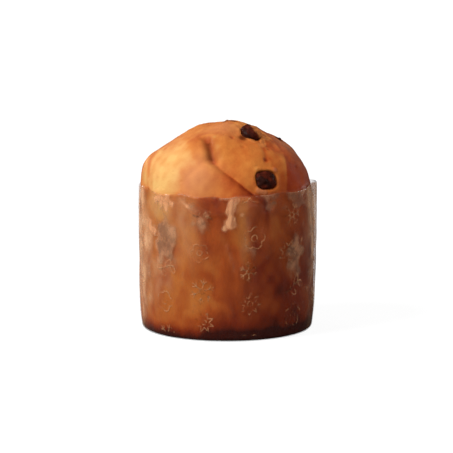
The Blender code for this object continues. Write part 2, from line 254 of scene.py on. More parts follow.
# Azimuth, elevation, width and strength of dark brown spots beside the upper front chip.
DARK_SPOTS = (
    (-67.0, 60.5, 1.7 * MM, 0.95),
    (-56.0, 59.5, 1.3 * MM, 0.60),
)


@dataclass(frozen=True)
class Dome:
    """Form of the risen crust above the paper, measured from the centre of its waist."""

    centre: float = 50 * MM
    radius: float = 31.6 * MM
    skirt: float = 2.6 * MM
    lump: float = 0.25 * MM
    lump_wave: float = 17 * MM
    crag: float = 0.3 * MM
    crag_wave: float = 5.5 * MM
    crag_place: Span = (-40, 60)
    crag_reach: Span = (24, 13)
    blisters: tuple[tuple[float, float, int], ...] = (  # rise, wavelength and seed
        (0.035 * MM, 4.5 * MM, 41),
        (0.010 * MM, 1.6 * MM, 42),
    )
    pore: float = 0.10 * MM
    pore_wave: float = 2.4 * MM
    pore_span: Span = (1.9, 2.8)  # how rare and how sharp the pores are
    shred: float = 0.20 * MM
    shred_wave: float = 2.6 * MM
    strokes: tuple[Stroke, ...] = (
        # The deep nick where one fold of dough tucks under the next.
        Stroke(
            Line(((-117, 57), (-110, 50.5), (-105, 44.5), (-102, 38))),
            -1.9 * MM, 1.8 * MM, -1.5 * MM, bake=0.20, bake_reach=0.7,
        ),
        # The seam that runs from the nick down to the paper.
        Stroke(
            Line(((-106, 40), (-96, 32.5), (-86, 25.5), (-74, 15.5), (-62, 6))),
            -1.2 * MM, 2.1 * MM, -0.9 * MM, lip=1.0 * MM, lip_reach=9 * MM, bake=0.03,
        ),
        # The soft ridge that parts the pale left side from the front.
        Stroke(Line(((-113, 56), (-127, 34), (-134, 10))), 0.9 * MM, 7.0 * MM, 0.5 * MM),
        # Shallow stretch folds on the right and round the back.
        Stroke(Line(((-38, 52), (-30, 38), (-26, 20))), -0.7 * MM, 2.4 * MM, -0.4 * MM, bake=0.1),
        Stroke(
            Line(((70, 62), (96, 48), (118, 30), (126, 12))),
            -1.2 * MM, 2.2 * MM, -0.8 * MM, lip=0.8 * MM, bake=0.17,
        ),
        Stroke(Line(((10, 66), (38, 52), (52, 30))), -0.8 * MM, 2.6 * MM, -0.5 * MM, bake=0.15),
    )
    # Marks too small for the solid: a dimple at the left, darkened with painted shade; the lit
    # edge over the nick, paler with a painted highlight; a crack between the front chips; the sharp
    # bottom of the seam, darkened with painted shade; and a streak on the right.
    marks: tuple[Stroke, ...] = (
        Stroke(
            Line(((-171, 34), (-164, 27), (-158, 21))), -0.3 * MM, 1.8 * MM, -0.2 * MM, bake=0.22
        ),
        Stroke(
            Line(((-126, 60), (-116, 62), (-107, 59))), 0.15 * MM, 0.9 * MM, 0.05 * MM, bake=-0.08
        ),
        Stroke(Line(((-47, 51), (-51, 44), (-55, 36))), -0.15 * MM, 1.2 * MM, -0.2 * MM, bake=0.14),
        Stroke(
            Line(((-104, 41), (-96, 32.5), (-86, 25.5), (-74, 15.5), (-62, 6))),
            -0.25 * MM, 0.6 * MM, -0.25 * MM, bake=0.05, bake_reach=1.0,
        ),
        Stroke(Line(((-30, 62), (-22, 50), (-27, 42))), -0.3 * MM, 0.8 * MM, -0.2 * MM, bake=0.15),
    )
    # Azimuth, elevation, rise, and reach across and up, all but the rise in degrees.
    swellings: Table = (
        (182, 27, 3.0 * MM, 50, 12.5),
        (180, 62, 0.1 * MM, 70, 14),
        (0, 33, 0.8 * MM, 40, 16),
        (70, 26, 0.9 * MM, 40, 16),
        (-8, 62, -0.8 * MM, 40, 12),
        (16, 66, 0.9 * MM, 16, 4.5),
    )

    @staticmethod
    def patch(
        direction: Array, azimuth: float, elevation: float, across: float, up: float
    ) -> Array:
        """1 in the middle of a patch of the dome, fading out over its reach in degrees.

        Args:
            direction: Unit directions from the dome's centre.
            azimuth: Of the middle, in degrees.
            elevation: Of the middle, in degrees.
            across: Reach to each side.
            up: Reach up and down.

        Returns:
            One number for each direction.
        """
        phi = np.degrees(np.arctan2(direction[..., 1], direction[..., 0]))
        turn = (phi - azimuth + 180) % 360 - 180
        lift = np.degrees(np.arcsin(np.clip(direction[..., 2], -1, 1))) - elevation
        return bell(turn / across) * bell(lift / up)

    def patches(self, direction: Array, table: Table) -> Array:
        """All the patches of a table together, each with its strength last."""
        return sum(much * self.patch(direction, *place) for *place, much in table)

    def reach(self, direction: Array) -> Array:
        """Distance from the centre of the waist to the crust, as the solid has it.

        Args:
            direction: Unit directions from the dome's centre.

        Returns:
            Metres, one for each direction.
        """
        reach = self.radius + self.skirt * (1 - direction[..., 2])
        for azimuth, elevation, rise, across, up in self.swellings:
            reach = reach + rise * self.patch(direction, azimuth, elevation, across, up)
        reach = reach + self.lump * ripple(self.radius * direction, self.lump_wave, seed=11)
        crags = ripple(self.radius * direction, self.crag_wave, seed=31)
        reach = reach + self.crag * crags * self.crumbly(direction)
        for stroke in self.strokes:
            reach = reach + stroke.height(direction, self.radius)
        return reach

    def away_from(self, line: Line, direction: Array) -> Array:
        """How far each direction is from a line over the dome."""
        return line.measure(direction, self.radius)[0]

    def right_of(self, line: Line, direction: Array) -> Array:
        """How far each direction is to the right of a line as it is drawn."""
        return line.measure(direction, self.radius)[2]

    @property
    def seam(self) -> Stroke:
        """The long seam across the front."""
        return self.strokes[1]

    def crumbly(self, direction: Array) -> Array:
        """1 where the crust is broken beside the upper front chip."""
        return self.patch(direction, *self.crag_place, *self.crag_reach)

    def spots(self, direction: Array, table: Table) -> Array:
        """How deep or high the single pits or crumbs of a table are in each direction.

        Args:
            direction: Unit directions from the dome's centre.
            table: Azimuth, elevation, width and depth, height or strength of each.

        Returns:
            One number for each direction.
        """
        total = np.zeros(direction.shape[:-1])
        for azimuth, elevation, width, much in table:
            middle = spherical(np.radians(azimuth), np.radians(elevation))
            away = self.radius * np.linalg.norm(direction - middle, axis=-1)
            total += much * np.exp(-((away / width) ** 4))
        return total

    def fine_relief(self, direction: Array) -> Array:
        """Blisters, pores and broken crumb that the solid is too coarse to hold.

        Args:
            direction: Unit directions from the dome's centre.

        Returns:
            Metres outwards, one for each direction.
        """
        place = self.radius * direction
        blisters = sum(
            rise * ripple(place, wave, seed, waves=40) for rise, wave, seed in self.blisters
        )
        pores = self.pore * smooth(ripple(place, self.pore_wave, seed=43), *self.pore_span)
        shreds = self.shred * ripple(place, self.shred_wave, seed=44)
        shreds = shreds * self.crumbly(direction) ** 1.5
        marks = sum(mark.height(direction, self.radius) for mark in self.marks)
        single = self.spots(direction, CRUMBS) - self.spots(direction, PITS)
        return blisters - pores + shreds + marks + single


DOME = Dome()


# ---------------------------------------------------------------- form of the paper and the side

# Pleats that stand out from the wall and run down from the rim: azimuth at the rim and at the
# lower end, height of the lower end, rise and half-width. Azimuths are in degrees.
PLEATS = (
    (-87, -86, 43 * MM, 0.45 * MM, 1.9 * MM),
    (-76, -73, 28 * MM, 0.35 * MM, 2.4 * MM),
    (-124, -120, 36 * MM, 0.28 * MM, 2.4 * MM),
    (-41, -46, 34 * MM, 0.30 * MM, 2.6 * MM),
    (-8, -3, 30 * MM, 0.40 * MM, 3.0 * MM),
    (33, 30, 38 * MM, 0.35 * MM, 2.6 * MM),
    (66, 70, 26 * MM, 0.30 * MM, 2.8 * MM),
    (118, 114, 40 * MM, 0.35 * MM, 2.4 * MM),
    (150, 154, 30 * MM, 0.30 * MM, 2.8 * MM),
    (-163, -160, 42 * MM, 0.25 * MM, 2.6 * MM),
)

# Where the cut edge of the paper stands higher, or lower if negative: azimuth of the middle and
# reach on each side of it in degrees, and lift.
RIM_LIFTS = (
    (-173, 12, 0.5 * MM),
    (-158, 10, 1.6 * MM),
    (-121, 6, 0.6 * MM),
    (-110, 8, -0.5 * MM),
    (-91, 5, -0.5 * MM),
    (-83, 7, 0.6 * MM),
    (-70, 6, 0.9 * MM),
    (-56, 7, 0.8 * MM),
    (-17, 8, 1.3 * MM),
    (0, 12, 0.4 * MM),
    (34, 10, -0.6 * MM),
    (75, 12, 0.5 * MM),
    (112, 9, -0.5 * MM),
    (140, 12, 0.8 * MM),
    (160, 8, 0.4 * MM),
)

# Where the crust sinks away from the paper: azimuth and height of the middle, depth, and reach
# across and up. Azimuths and the reach across are in degrees.
HOLLOWS = (
    (-133, 40 * MM, 0.9 * MM, 10, 10 * MM),
    (-106, 48 * MM, 0.8 * MM, 9, 8 * MM),
    (-58, 54 * MM, 0.5 * MM, 15, 5 * MM),
    (-41, 33 * MM, 0.7 * MM, 8, 9 * MM),
    (-8, 42 * MM, 0.7 * MM, 10, 13 * MM),
    (-160, 14 * MM, 0.5 * MM, 12, 9 * MM),
    (24, 48 * MM, 0.7 * MM, 12, 8 * MM),
    (62, 33 * MM, 0.9 * MM, 12, 9 * MM),
    (106, 20 * MM, 0.7 * MM, 14, 8 * MM),
    (122, 47 * MM, 0.8 * MM, 11, 8 * MM),
    (158, 38 * MM, 0.8 * MM, 11, 11 * MM),
)


@dataclass(frozen=True)
class Case:
    """Form of the paper case, and of the crust that it holds in."""

    radius: float = 34.9 * MM
    height: float = 57 * MM
    taper: float = 1.5 * MM
    taper_fade: float = 9 * MM
    corner: float = 2 * MM
    crumple: float = 0.17 * MM
    crumple_wave: float = 13 * MM
    crumple_stretch: float = 0.35
    crumple_start: Span = (2 * MM, 16 * MM)
    rim_lift: float = 0.5 * MM
    rim_uneven: float = 0.2 * MM
    rim_wave: float = 30 * MM
    lap_rise: float = 0.22 * MM
    lap_azimuth: float = math.radians(90)
    lap_half_width: float = math.radians(7)
    lap_edge: float = math.radians(2)
    loose_rise: float = 0.7 * MM
    loose_height: float = 27 * MM
    loose_reach: float = 13 * MM
    loose_turn: float = math.radians(34)
    pleat_fade: float = 7 * MM
    dent: float = 0.35 * MM
    tuck_depth: float = 1.0 * MM
    tuck_top: Span = (57 * MM, math.radians(-96))
    tuck_foot: Span = (32 * MM, math.radians(-84.5))
    tuck_fade: float = 8 * MM
    tuck_width: float = 2.2 * MM
    wave_rise: float = 0.05 * MM
    wave_length: float = 5 * MM
    long_crease: tuple[float, float, float] = (0.13 * MM, 9 * MM, 0.22)  # rise, wavelength, width
    short_crease: tuple[float, float, float] = (0.07 * MM, 6 * MM, 0.16)
    crease_patch: float = 20 * MM  # size of the places with long creases
    wrinkle_start: Span = (1.5 * MM, 9 * MM)
    cling_waves: Span = (12 * MM, 5 * MM)
    grain: float = 0.05 * MM
    grain_wave: float = 2.6 * MM
    paper: float = 0.14 * MM  # true thickness of the paper
    contact: float = 0.05 * MM  # room between paper and crust where they touch
    waist_blend: float = 13 * MM
    rim_free: Span = (1 * MM, 4 * MM)
    rim_overhang: float = 4 * MM

    def on_wall(self, azimuth: Array, height: Array, stretch: float) -> Array:
        """Points on the nominal wall, with the height scaled so that a ripple runs upwards."""
        return ring(azimuth, self.radius, height * stretch)

    def corner_inset(self, height: Array, radius: float) -> Array:
        """How far a rounded bottom corner has drawn in at a height above the foot."""
        down = np.clip(1 - height / radius, 0, 1)
        return radius * (1 - np.sqrt(1 - down**2))

    def tuck(self, azimuth: Array, height: Array) -> Array:
        """1 along the upright fold in the side crust, 0 away from it.

        Args:
            azimuth: In radians.
            height: Above the foot, in metres.

        Returns:
            One number for each place.
        """
        (top, start), (foot, end) = self.tuck_top, self.tuck_foot
        middle = end + (start - end) * (height - foot) / (top - foot)
        fade = smooth(height, foot - self.tuck_fade, foot + self.tuck_fade)
        return fade * bell(turned_from(azimuth, middle) * self.radius / self.tuck_width)

    def loose(self, azimuth: Array, height: Array) -> Array:
        """1 where the paper stands furthest from the crust on the right."""
        turn = turned_from(azimuth, 0) / self.loose_turn
        return bell(turn) * bell((height - self.loose_height) / self.loose_reach)

    def pleats(self, azimuth: Array, height: Array) -> Array:
        """How far the pleats lift the paper.

        Args:
            azimuth: In radians.
            height: Above the foot, in metres.

        Returns:
            Metres, one for each place.
        """
        lifted = 0 * azimuth
        for at_rim, at_end, low, rise, width in PLEATS:
            up = (height - low) / (self.height - low)
            middle = np.radians(at_end + (at_rim - at_end) * up)
            ridge = bell(turned_from(azimuth, middle) * self.radius / width)
            lifted = lifted + rise * ridge * smooth(height, low, low + self.pleat_fade)
        return lifted

    def hollows(self, azimuth: Array, height: Array) -> Array:
        """How far the crust sinks away from the paper.

        Args:
            azimuth: In radians.
            height: Above the foot, in metres.

        Returns:
            Metres, one for each place.
        """
        sunk = 0 * azimuth
        for middle, centre, depth, across, up in HOLLOWS:
            turn = np.degrees(turned_from(azimuth, math.radians(middle))) / across
            sunk = sunk + depth * bell(turn) * bell((height - centre) / up)
        return sunk

    def clinging(self, azimuth: Array, height: Array) -> Array:
        """1 in the patches where the paper is soaked and clings to the crust, 0 between them.

        Args:
            azimuth: In radians.
            height: Above the foot, in metres.

        Returns:
            One number for each place.
        """
        place = self.on_wall(azimuth, height, 0.85)
        large, small = self.cling_waves
        uneven = ripple(place, large, seed=85) + 0.4 * ripple(place, small, seed=86)
        return smooth(uneven, -0.8, 0.8)

    def lap(self, azimuth: Array) -> Array:
        """1 on the glued overlap at the back, 0 elsewhere."""
        turn = np.abs(turned_from(azimuth, self.lap_azimuth))
        return 1 - smooth(turn, self.lap_half_width, self.lap_half_width + self.lap_edge)

    def rim_height(self, azimuth: Array) -> Array:
        """Height of the cut edge of the paper.

        Args:
            azimuth: In radians.

        Returns:
            Metres above the foot, one for each azimuth.
        """
        uneven = ripple(self.on_wall(azimuth, 0 * azimuth, 1), self.rim_wave, seed=8)
        height = self.height + self.rim_lift * np.cos(azimuth) + self.rim_uneven * uneven
        for middle, reach, lift in RIM_LIFTS:
            turn = np.degrees(turned_from(azimuth, math.radians(middle))) / reach
            height = height + lift * bell(turn)
        return height

    def smooth_radius(self, azimuth: Array, height: Array) -> Array:
        """Outside radius of the paper, without its pleats, overlap and fine wrinkles.

        Args:
            azimuth: In radians.
            height: Above the foot, in metres.

        Returns:
            Metres, one for each place.
        """
        taper = self.taper * np.exp(-height / self.taper_fade)
        place = self.on_wall(azimuth, height, self.crumple_stretch)
        crumple = ripple(place, self.crumple_wave, seed=5)
        radius = self.radius - taper + self.crumple * crumple * smooth(height, *self.crumple_start)
        return radius - self.dent * self.tuck(azimuth, height)

    def waves(self, azimuth: Array, height: Array) -> Array:
        """Soft upright waves of the paper, which the crust behind it follows inwards."""
        place = self.on_wall(azimuth, height, 0.3)
        return self.wave_rise * ripple(place, self.wave_length, seed=51)

    def wrinkles(self, azimuth: Array, height: Array) -> Array:
        """Fine wrinkles of the paper: soft waves and sharper creases, mostly upright.

        Args:
            azimuth: In radians.
            height: Above the foot, in metres.

        Returns:
            Metres outwards, one for each place.
        """
        (long_rise, *long), (short_rise, *short) = self.long_crease, self.short_crease
        long_creases = crease_lines(self.on_wall(azimuth, height, 0.22), *long, seed=52)
        short_creases = crease_lines(self.on_wall(azimuth, height, 0.6), *short, seed=53)
        where = ripple(self.on_wall(azimuth, height, 0.7), self.crease_patch, seed=54)
        where = smooth(where, -0.3, 1.0)
        creases = long_rise * long_creases * where + short_rise * short_creases * (1 - where)
        return smooth(height, *self.wrinkle_start) * (self.waves(azimuth, height) + creases)

    def paper_outside(self, azimuth: Array, height: Array) -> Array:
        """Outside radius of the paper in full detail.

        Args:
            azimuth: In radians.
            height: Above the foot, in metres.

        Returns:
            Metres, one for each place.
        """
        lifted = self.loose_rise * self.loose(azimuth, height) + self.pleats(azimuth, height)
        rise = smooth(height, 0, self.corner)
        return (
            self.smooth_radius(azimuth, height) + lifted + self.wrinkles(azimuth, height)
            + self.lap_rise * self.lap(azimuth) * rise
        )

    def crust_side(self, azimuth: Array, height: Array) -> Array:
        """Radius of the crust below the waist: against the paper, apart from shallow hollows.

        Args:
            azimuth: In radians.
            height: Above the foot, in metres.

        Returns:
            Metres, one for each place.
        """
        room = self.smooth_radius(azimuth, height) + np.minimum(self.waves(azimuth, height), 0)
        room = room - self.paper - self.contact
        grain = ripple(self.on_wall(azimuth, height, 1), self.grain_wave, seed=61)
        away = (self.tuck_depth - self.dent) * self.tuck(azimuth, height)
        away = self.hollows(azimuth, height) + away
        waist = DOME.reach(spherical(azimuth, 0 * azimuth))
        over = smooth(height, DOME.centre - self.waist_blend, DOME.centre)
        sunk = (room - away) * (1 - over) + waist * over
        return np.minimum(room, sunk) - self.grain * np.abs(grain)

    def inside_paper(self, azimuth: Array, points: Array) -> Array:
        """The points, drawn in where the crust would otherwise push through the paper's rim.

        Args:
            azimuth: Of each point, in radians.
            points: Places in metres.

        Returns:
            The points after that.
        """
        limit = self.smooth_radius(azimuth, points[..., 2]) - self.paper - self.contact
        limit = limit + self.rim_overhang * smooth(points[..., 2] - self.height, *self.rim_free)
        reach = np.maximum(np.hypot(points[..., 0], points[..., 1]), 1e-6)
        share = np.minimum(1, limit / reach)
        return points * np.stack([share, share, np.ones_like(share)], axis=-1)


CASE = Case()


# ---------------------------------------------------------------- meshes

def ring_angles(count: int, crowding: float = 0.35) -> Array:
    """Azimuths of one ring's points, crowded towards the front."""
    turn = 2 * math.pi * (np.arange(count) + 0.5) / count
    return turn + crowding * np.sin(turn) - 1.5 * math.pi


def lofted(name: str, first: tuple, rows: Array, last: tuple) -> bpy.types.Mesh:
    """A closed, smooth-shaded mesh through rows of points.

    Args:
        name: For the mesh.
        first: The point that closes the first row.
        rows: Points as row, column, coordinate. Each row runs once round, with rising azimuth, and
            the rows run up outside or down inside, so that the faces look outwards.
        last: The point that closes the last row.

    Returns:
        The mesh, whose points are first, the rows in turn, and last.
    """
    count, columns, _ = rows.shape
    grid = 1 + np.arange(count * columns).reshape(count, columns)
    following = np.roll(grid, -1, axis=1)
    quads = np.stack([grid[:-1], following[:-1], following[1:], grid[1:]], axis=-1).reshape(-1, 4)
    end = count * columns + 1
    start_fan = [(0, int(b), int(a)) for a, b in zip(grid[0], following[0])]
    end_fan = [(int(a), int(b), end) for a, b in zip(grid[-1], following[-1])]
    points = np.concatenate([[first], rows.reshape(-1, 3), [last]])
    mesh = bpy.data.meshes.new(name)
    mesh.from_pydata(points.tolist(), [], start_fan + quads.tolist() + end_fan)
    mesh.shade_smooth()
    return mesh


def mesh_points(mesh: bpy.types.Mesh, what: str = "co") -> Array:
    """The places of the mesh's points, or their normals, one to a row.

    Args:
        mesh: The one to read.
        what: "co" for places or "normal" for normals.

    Returns:
        Points as row, coordinate.
    """
    points = np.empty(len(mesh.vertices) * 3)
    mesh.vertices.foreach_get(what, points)
    return points.reshape(-1, 3)


def settled(helper: bpy.types.Object) -> bpy.types.Mesh:
    """The plain mesh that a helper's modifiers make of it. The helper is removed.

    Args:
        helper: An object in the scene.

    Returns:
        The mesh, no longer tied to the helper.
    """
    depsgraph = bpy.context.evaluated_depsgraph_get()
    mesh = bpy.data.meshes.new_from_object(helper.evaluated_get(depsgraph))
    bpy.data.objects.remove(helper)
    return mesh


def add_piece(
    name: str, mesh: bpy.types.Mesh, material: bpy.types.Material | None
) -> bpy.types.Object:
    """Puts a mesh into the scene as a piece of the object, riding on its only body.

    Args:
        name: For the piece.
        mesh: Its surface, in place.
        material: Its finish, or None where the mesh already has it.

    Returns:
        The piece.
    """
    if material is not None:
        mesh.materials.append(material)
    made = bpy.data.objects.new(name, mesh)
    bpy.context.scene.collection.objects.link(made)
    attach(made, BODY)
    return made


def set_values(mesh: bpy.types.Mesh, name: str, values: Array) -> None:
    """Stores one number for each of the mesh's points under a name."""
    stored = mesh.attributes.new(name, "FLOAT", "POINT")
    stored.data.foreach_set("value", values.astype(np.float32))


# ---------------------------------------------------------------- node trees

Socket = bpy.types.NodeSocket
Value = float | int | str | tuple | bpy.types.NodeSocket | bpy.types.ID


class Nodes:
    """Short calls that add nodes to a tree and return them."""

    def __init__(self, tree: bpy.types.NodeTree) -> None:
        """Takes the tree that the nodes go into."""
        self.tree = tree

    def node(
        self, kind: str, inputs: dict[str | int, Value] | None = None, **settings: object
    ) -> bpy.types.Node:
        """Adds one node.

        Args:
            kind: Blender's name for the node's class.
            inputs: What goes into its sockets, by name or number: a value or another node's output.
            settings: Properties of the node.

        Returns:
            The node.
        """
        made = self.tree.nodes.new(kind)
        for key, value in settings.items():
            setattr(made, key, value)
        for key, value in (inputs or {}).items():
            self.put(made.inputs[key], value)
        return made

    def put(self, socket: Socket, value: Value) -> None:
        """Links an output to the socket, or sets the value on it.

        Args:
            socket: Input of a node.
            value: Another node's output, or a plain value.
        """
        if isinstance(value, bpy.types.NodeSocket):
            self.tree.links.new(value, socket)
        else:
            socket.default_value = value

    def math(self, operation: str, a: Value, b: Value = 0.0, clamp: bool = False) -> Socket:
        """One sum, such as MULTIPLY or ADD."""
        made = self.node("ShaderNodeMath", {0: a, 1: b}, operation=operation, use_clamp=clamp)
        return made.outputs[0]

    def spread(self, value: Value, low: float, high: float, to: Span = (0.0, 1.0)) -> Socket:
        """The value moved from one range to another, evenly curved and kept inside it."""
        ends = {"From Min": low, "From Max": high, "To Min": to[0], "To Max": to[1]}
        inputs = {"Value": value, **ends}
        return self.node("ShaderNodeMapRange", inputs, interpolation_type="SMOOTHSTEP").outputs[0]


class Finish(Nodes):
    """One material under construction, on coordinates in metres that stay with the object."""

    def __init__(self, name: str) -> None:
        """Starts a material with this name.

        Args:
            name: For the material.
        """
        self.material = bpy.data.materials.new(name)
        self.material.use_nodes = True
        super().__init__(self.material.node_tree)
        self.shader = self.tree.nodes["Principled BSDF"]
        self.place = self.node("ShaderNodeTexCoord").outputs["Object"]

    def stored(self, name: str) -> Socket:
        """The values that the mesh holds under a name."""
        return self.node("ShaderNodeAttribute", attribute_name=name).outputs["Fac"]

    def noise(
        self, size: float, detail: float = 2, rough: float = 0.5, upright: float = 1.0
    ) -> Socket:
        """Cloudy noise.

        Args:
            size: Typical size of its patches in metres.
            detail: Layers of finer noise.
            rough: How strong the finer layers are.
            upright: How many times taller than wide the patches are.

        Returns:
            A value around 0.5.
        """
        stretched = self.node(
            "ShaderNodeMapping", {"Vector": self.place, "Scale": (1, 1, 1 / upright)}
        ).outputs[0]
        inputs = {"Vector": stretched, "Scale": 1 / size, "Detail": detail, "Roughness": rough}
        return self.node("ShaderNodeTexNoise", inputs).outputs[0]

    def cells(self, size: float) -> Socket:
        """Distance from scattered points, for pores and grains of about this size in metres."""
        inputs = {"Vector": self.place, "Scale": 1 / size}
        return self.node("ShaderNodeTexVoronoi", inputs).outputs[0]

    def uneven(self, noise: Socket, strength: float) -> Socket:
        """Noise moved from around 0.5 to around 0, at a strength."""
        return self.math("MULTIPLY", self.math("SUBTRACT", noise, 0.5), strength)

    def mix(self, share: Value, a: Value, b: Value) -> Socket:
        """Colour a turned into b by the share.

        Args:
            share: 0 for a, 1 for b.
            a: A colour or an output.
            b: The other one.

        Returns:
            The mixed colour.
        """
        made = self.node("ShaderNodeMix", data_type="RGBA", blend_type="MIX")
        for key, value in {0: share, 6: a, 7: b}.items():
            colour = (*value, 1.0) if isinstance(value, tuple) else value
            self.put(made.inputs[key], colour)
        return made.outputs[2]

    def ramp(self, value: Value, stops: tuple[tuple[float, Colour], ...]) -> Socket:
        """Colours along a scale from 0 to 1.

        Args:
            value: The place on the scale.
            stops: Places along it, rising, each with its colour.

        Returns:
            The colour.
        """
        made = self.node("ShaderNodeValToRGB", {0: value})
        scale = made.color_ramp.elements
        while len(scale) < len(stops):
            scale.new(0.5)
        for element, (position, colour) in zip(scale, stops):
            element.position = position
            element.color = (*colour, 1.0)
        return made.outputs[0]

    def bump(self, height: Value, depth: float) -> Socket:
        """Surface relief of a depth in metres."""
        inputs = {"Height": height, "Distance": depth, "Strength": 1.0}
        return self.node("ShaderNodeBump", inputs).outputs[0]

    def dress(self, **sockets: Value) -> bpy.types.Material:
        """Sets sockets of the shader, whose names have underscores for spaces here.

        Args:
            sockets: The value or output for each.

        Returns:
            The finished material.
        """
        for key, value in sockets.items():
            colour = (*value, 1.0) if isinstance(value, tuple) else value
            self.put(self.shader.inputs[key.replace("_", " ")], colour)
        return self.material


# ---------------------------------------------------------------- finishes

# Colours of the crust from the palest stretched dough to the darkest bake.
BAKED = (
    (0.0, (0.575, 0.325, 0.102)),
    (0.25, (0.47, 0.150, 0.028)),
    (0.5, (0.33, 0.062, 0.010)),
    (0.75, (0.185, 0.021, 0.004)),
    (1.0, (0.045, 0.006, 0.003)),
)

MIDDLE = (0.3, 0.7)  # the range that most of a noise lies in


@dataclass(frozen=True)
class CrustFinish:
    """Baked crust: mottled and satin, with pores; oily and sealed where the paper touches it."""

    cloud: float = 7 * MM
    cloud_strength: float = 0.20
    speck: float = 0.9 * MM
    speck_strength: float = 0.10
    speck_relief: float = 0.8  # share of the specks in the relief
    pore: float = 1.1 * MM
    pore_edge: Span = (0.05, 0.4)
    pore_relief: float = 0.3
    relief: float = 0.07 * MM
    crumb: Colour = (0.58, 0.19, 0.045)
    # paler, duller colour of dust, and of painted sheen in some patches
    dust_and_sheen: Colour = (0.50, 0.22, 0.10)
    # dark brown of the stains, also used for the painted shade beside the nick
    stain: Colour = (0.085, 0.013, 0.0012)
    # deep red beyond the dome's right border: partly a deeper bake, partly painted shade on the
    # side away from the key light
    seared_and_shaded: Colour = (0.26, 0.022, 0.001)
    roughness: Span = (0.66, 0.54)
    sheen: float = 0.06
    oiled: float = 0.35
    oil_roughness: float = 0.25

    def material(self) -> bpy.types.Material:
        """Makes the material.

        Returns:
            The finished material.
        """
        make = Finish("crust")
        clouds = make.noise(self.cloud, detail=4, rough=0.6)
        specks = make.noise(self.speck, rough=0.7)
        mottled = make.math(
            "ADD",
            make.uneven(clouds, self.cloud_strength),
            make.uneven(specks, self.speck_strength),
        )
        bake = make.math("ADD", make.stored("bake"), mottled, clamp=True)
        colour = make.ramp(bake, BAKED)
        colour = make.mix(make.stored("seared_and_shaded"), colour, self.seared_and_shaded)
        colour = make.mix(make.stored("crumb"), colour, self.crumb)
        colour = make.mix(make.stored("dust_and_sheen"), colour, self.dust_and_sheen)
        colour = make.mix(make.stored("stain"), colour, self.stain)
        pores = make.spread(make.cells(self.pore), *self.pore_edge)
        grain = make.math(
            "ADD",
            make.math("MULTIPLY", specks, self.speck_relief),
            make.math("MULTIPLY", pores, self.pore_relief),
        )
        return make.dress(
            Base_Color=colour,
            Roughness=make.spread(clouds, *MIDDLE, self.roughness),
            Normal=make.bump(grain, self.relief),
            Specular_IOR_Level=self.sheen,
            Coat_Weight=make.math("MULTIPLY", make.stored("wrapped"), self.oiled),
            Coat_Roughness=self.oil_roughness,
        )


@dataclass(frozen=True)
class PaperFinish:
    """Waxed paper: clear where it touches the crust, milky where it stands off, softly glossy."""

    blotch: float = 3.6 * MM
    blotch_ragged: float = 0.9  # how far the blotches move the edges of the haze
    blotch_dry: Span = (0.75, 1.2)  # least and most of the dried look and painted sheen
    patch: float = 1.1 * 3.6 * MM
    patch_edge: Span = (0.36, 0.64)
    clear: float = 0.16  # how much each face of the paper covers where it is oiled
    milky: float = 0.40  # how much more it covers where it stands off
    haze: Colour = (0.48, 0.205, 0.10)
    haze_dark: Colour = (0.25, 0.10, 0.05)
    haze_edge: Span = (0.25, 0.85)
    # colour of dried paper, also of its painted sheen
    dry: Colour = (0.78, 0.43, 0.22)
    # colour of the pale raised folds: milky paper with a painted highlight
    pale: Colour = (0.80, 0.385, 0.185)
    pale_edge: Span = (0.1, 1.0)
    crinkle: float = 2.0 * MM
    relief: float = 0.16 * MM
    fibre: float = 1.6 * MM
    fibre_edge: Span = (0.32, 0.68)
    fibre_pale: Span = (0.6, 1.1)
    roughness: Span = (0.18, 0.32)

    def material(self) -> bpy.types.Material:
        """Makes the material.

        Returns:
            The finished material.
        """
        make = Finish("paper")
        blotch = make.noise(self.blotch, detail=2.5, upright=1.4)
        ragged = make.uneven(blotch, self.blotch_ragged)
        haze = make.spread(make.math("ADD", make.stored("haze"), ragged), *self.haze_edge)
        # fibres streak the pale folds, whose paleness is partly a painted highlight
        fibres = make.noise(self.fibre, upright=3)
        fibres = make.spread(fibres, *self.fibre_edge, self.fibre_pale)
        pale = make.spread(make.stored("pale"), *self.pale_edge)
        pale = make.math("MULTIPLY", pale, fibres, clamp=True)
        # dry: dried paper, and painted sheen in places
        thinned = make.spread(blotch, *MIDDLE, self.blotch_dry)
        dry = make.math("MULTIPLY", make.stored("dry"), thinned, clamp=True)
        patchy = make.spread(make.noise(self.patch), *self.patch_edge)
        colour = make.ramp(make.stored("bake"), BAKED)
        colour = make.mix(haze, colour, make.mix(patchy, self.haze_dark, self.haze))
        colour = make.mix(dry, colour, self.dry)
        colour = make.mix(pale, colour, self.pale)
        crinkle = make.noise(self.crinkle, detail=2.5, upright=2)
        standing = make.math("MAXIMUM", dry, make.math("MAXIMUM", haze, pale))
        return make.dress(
            Base_Color=colour,
            Roughness=make.spread(blotch, *MIDDLE, self.roughness),
            Normal=make.bump(crinkle, self.relief),
            Alpha=make.math("ADD", self.clear, make.math("MULTIPLY", standing, self.milky)),
            Specular_IOR_Level=0.5,
        )


@dataclass(frozen=True)
class PrintFinish:
    """Thin pale printed line that lets the colour behind it through, worn in places."""

    ink: Colour = (0.66, 0.30, 0.13)
    fresh: float = 0.21  # how much each face of the line covers
    worn: float = 0.0
    wear: float = 5 * MM
    wear_edge: Span = (0.40, 0.56)

    def material(self) -> bpy.types.Material:
        """Makes the material.

        Returns:
            The finished material.
        """
        make = Finish("print")
        wear = make.noise(self.wear, detail=4, rough=0.75)
        return make.dress(
            Base_Color=self.ink,
            Roughness=0.45,
            Alpha=make.spread(wear, *self.wear_edge, (self.fresh, self.worn)),
            Specular_IOR_Level=0.2,
        )


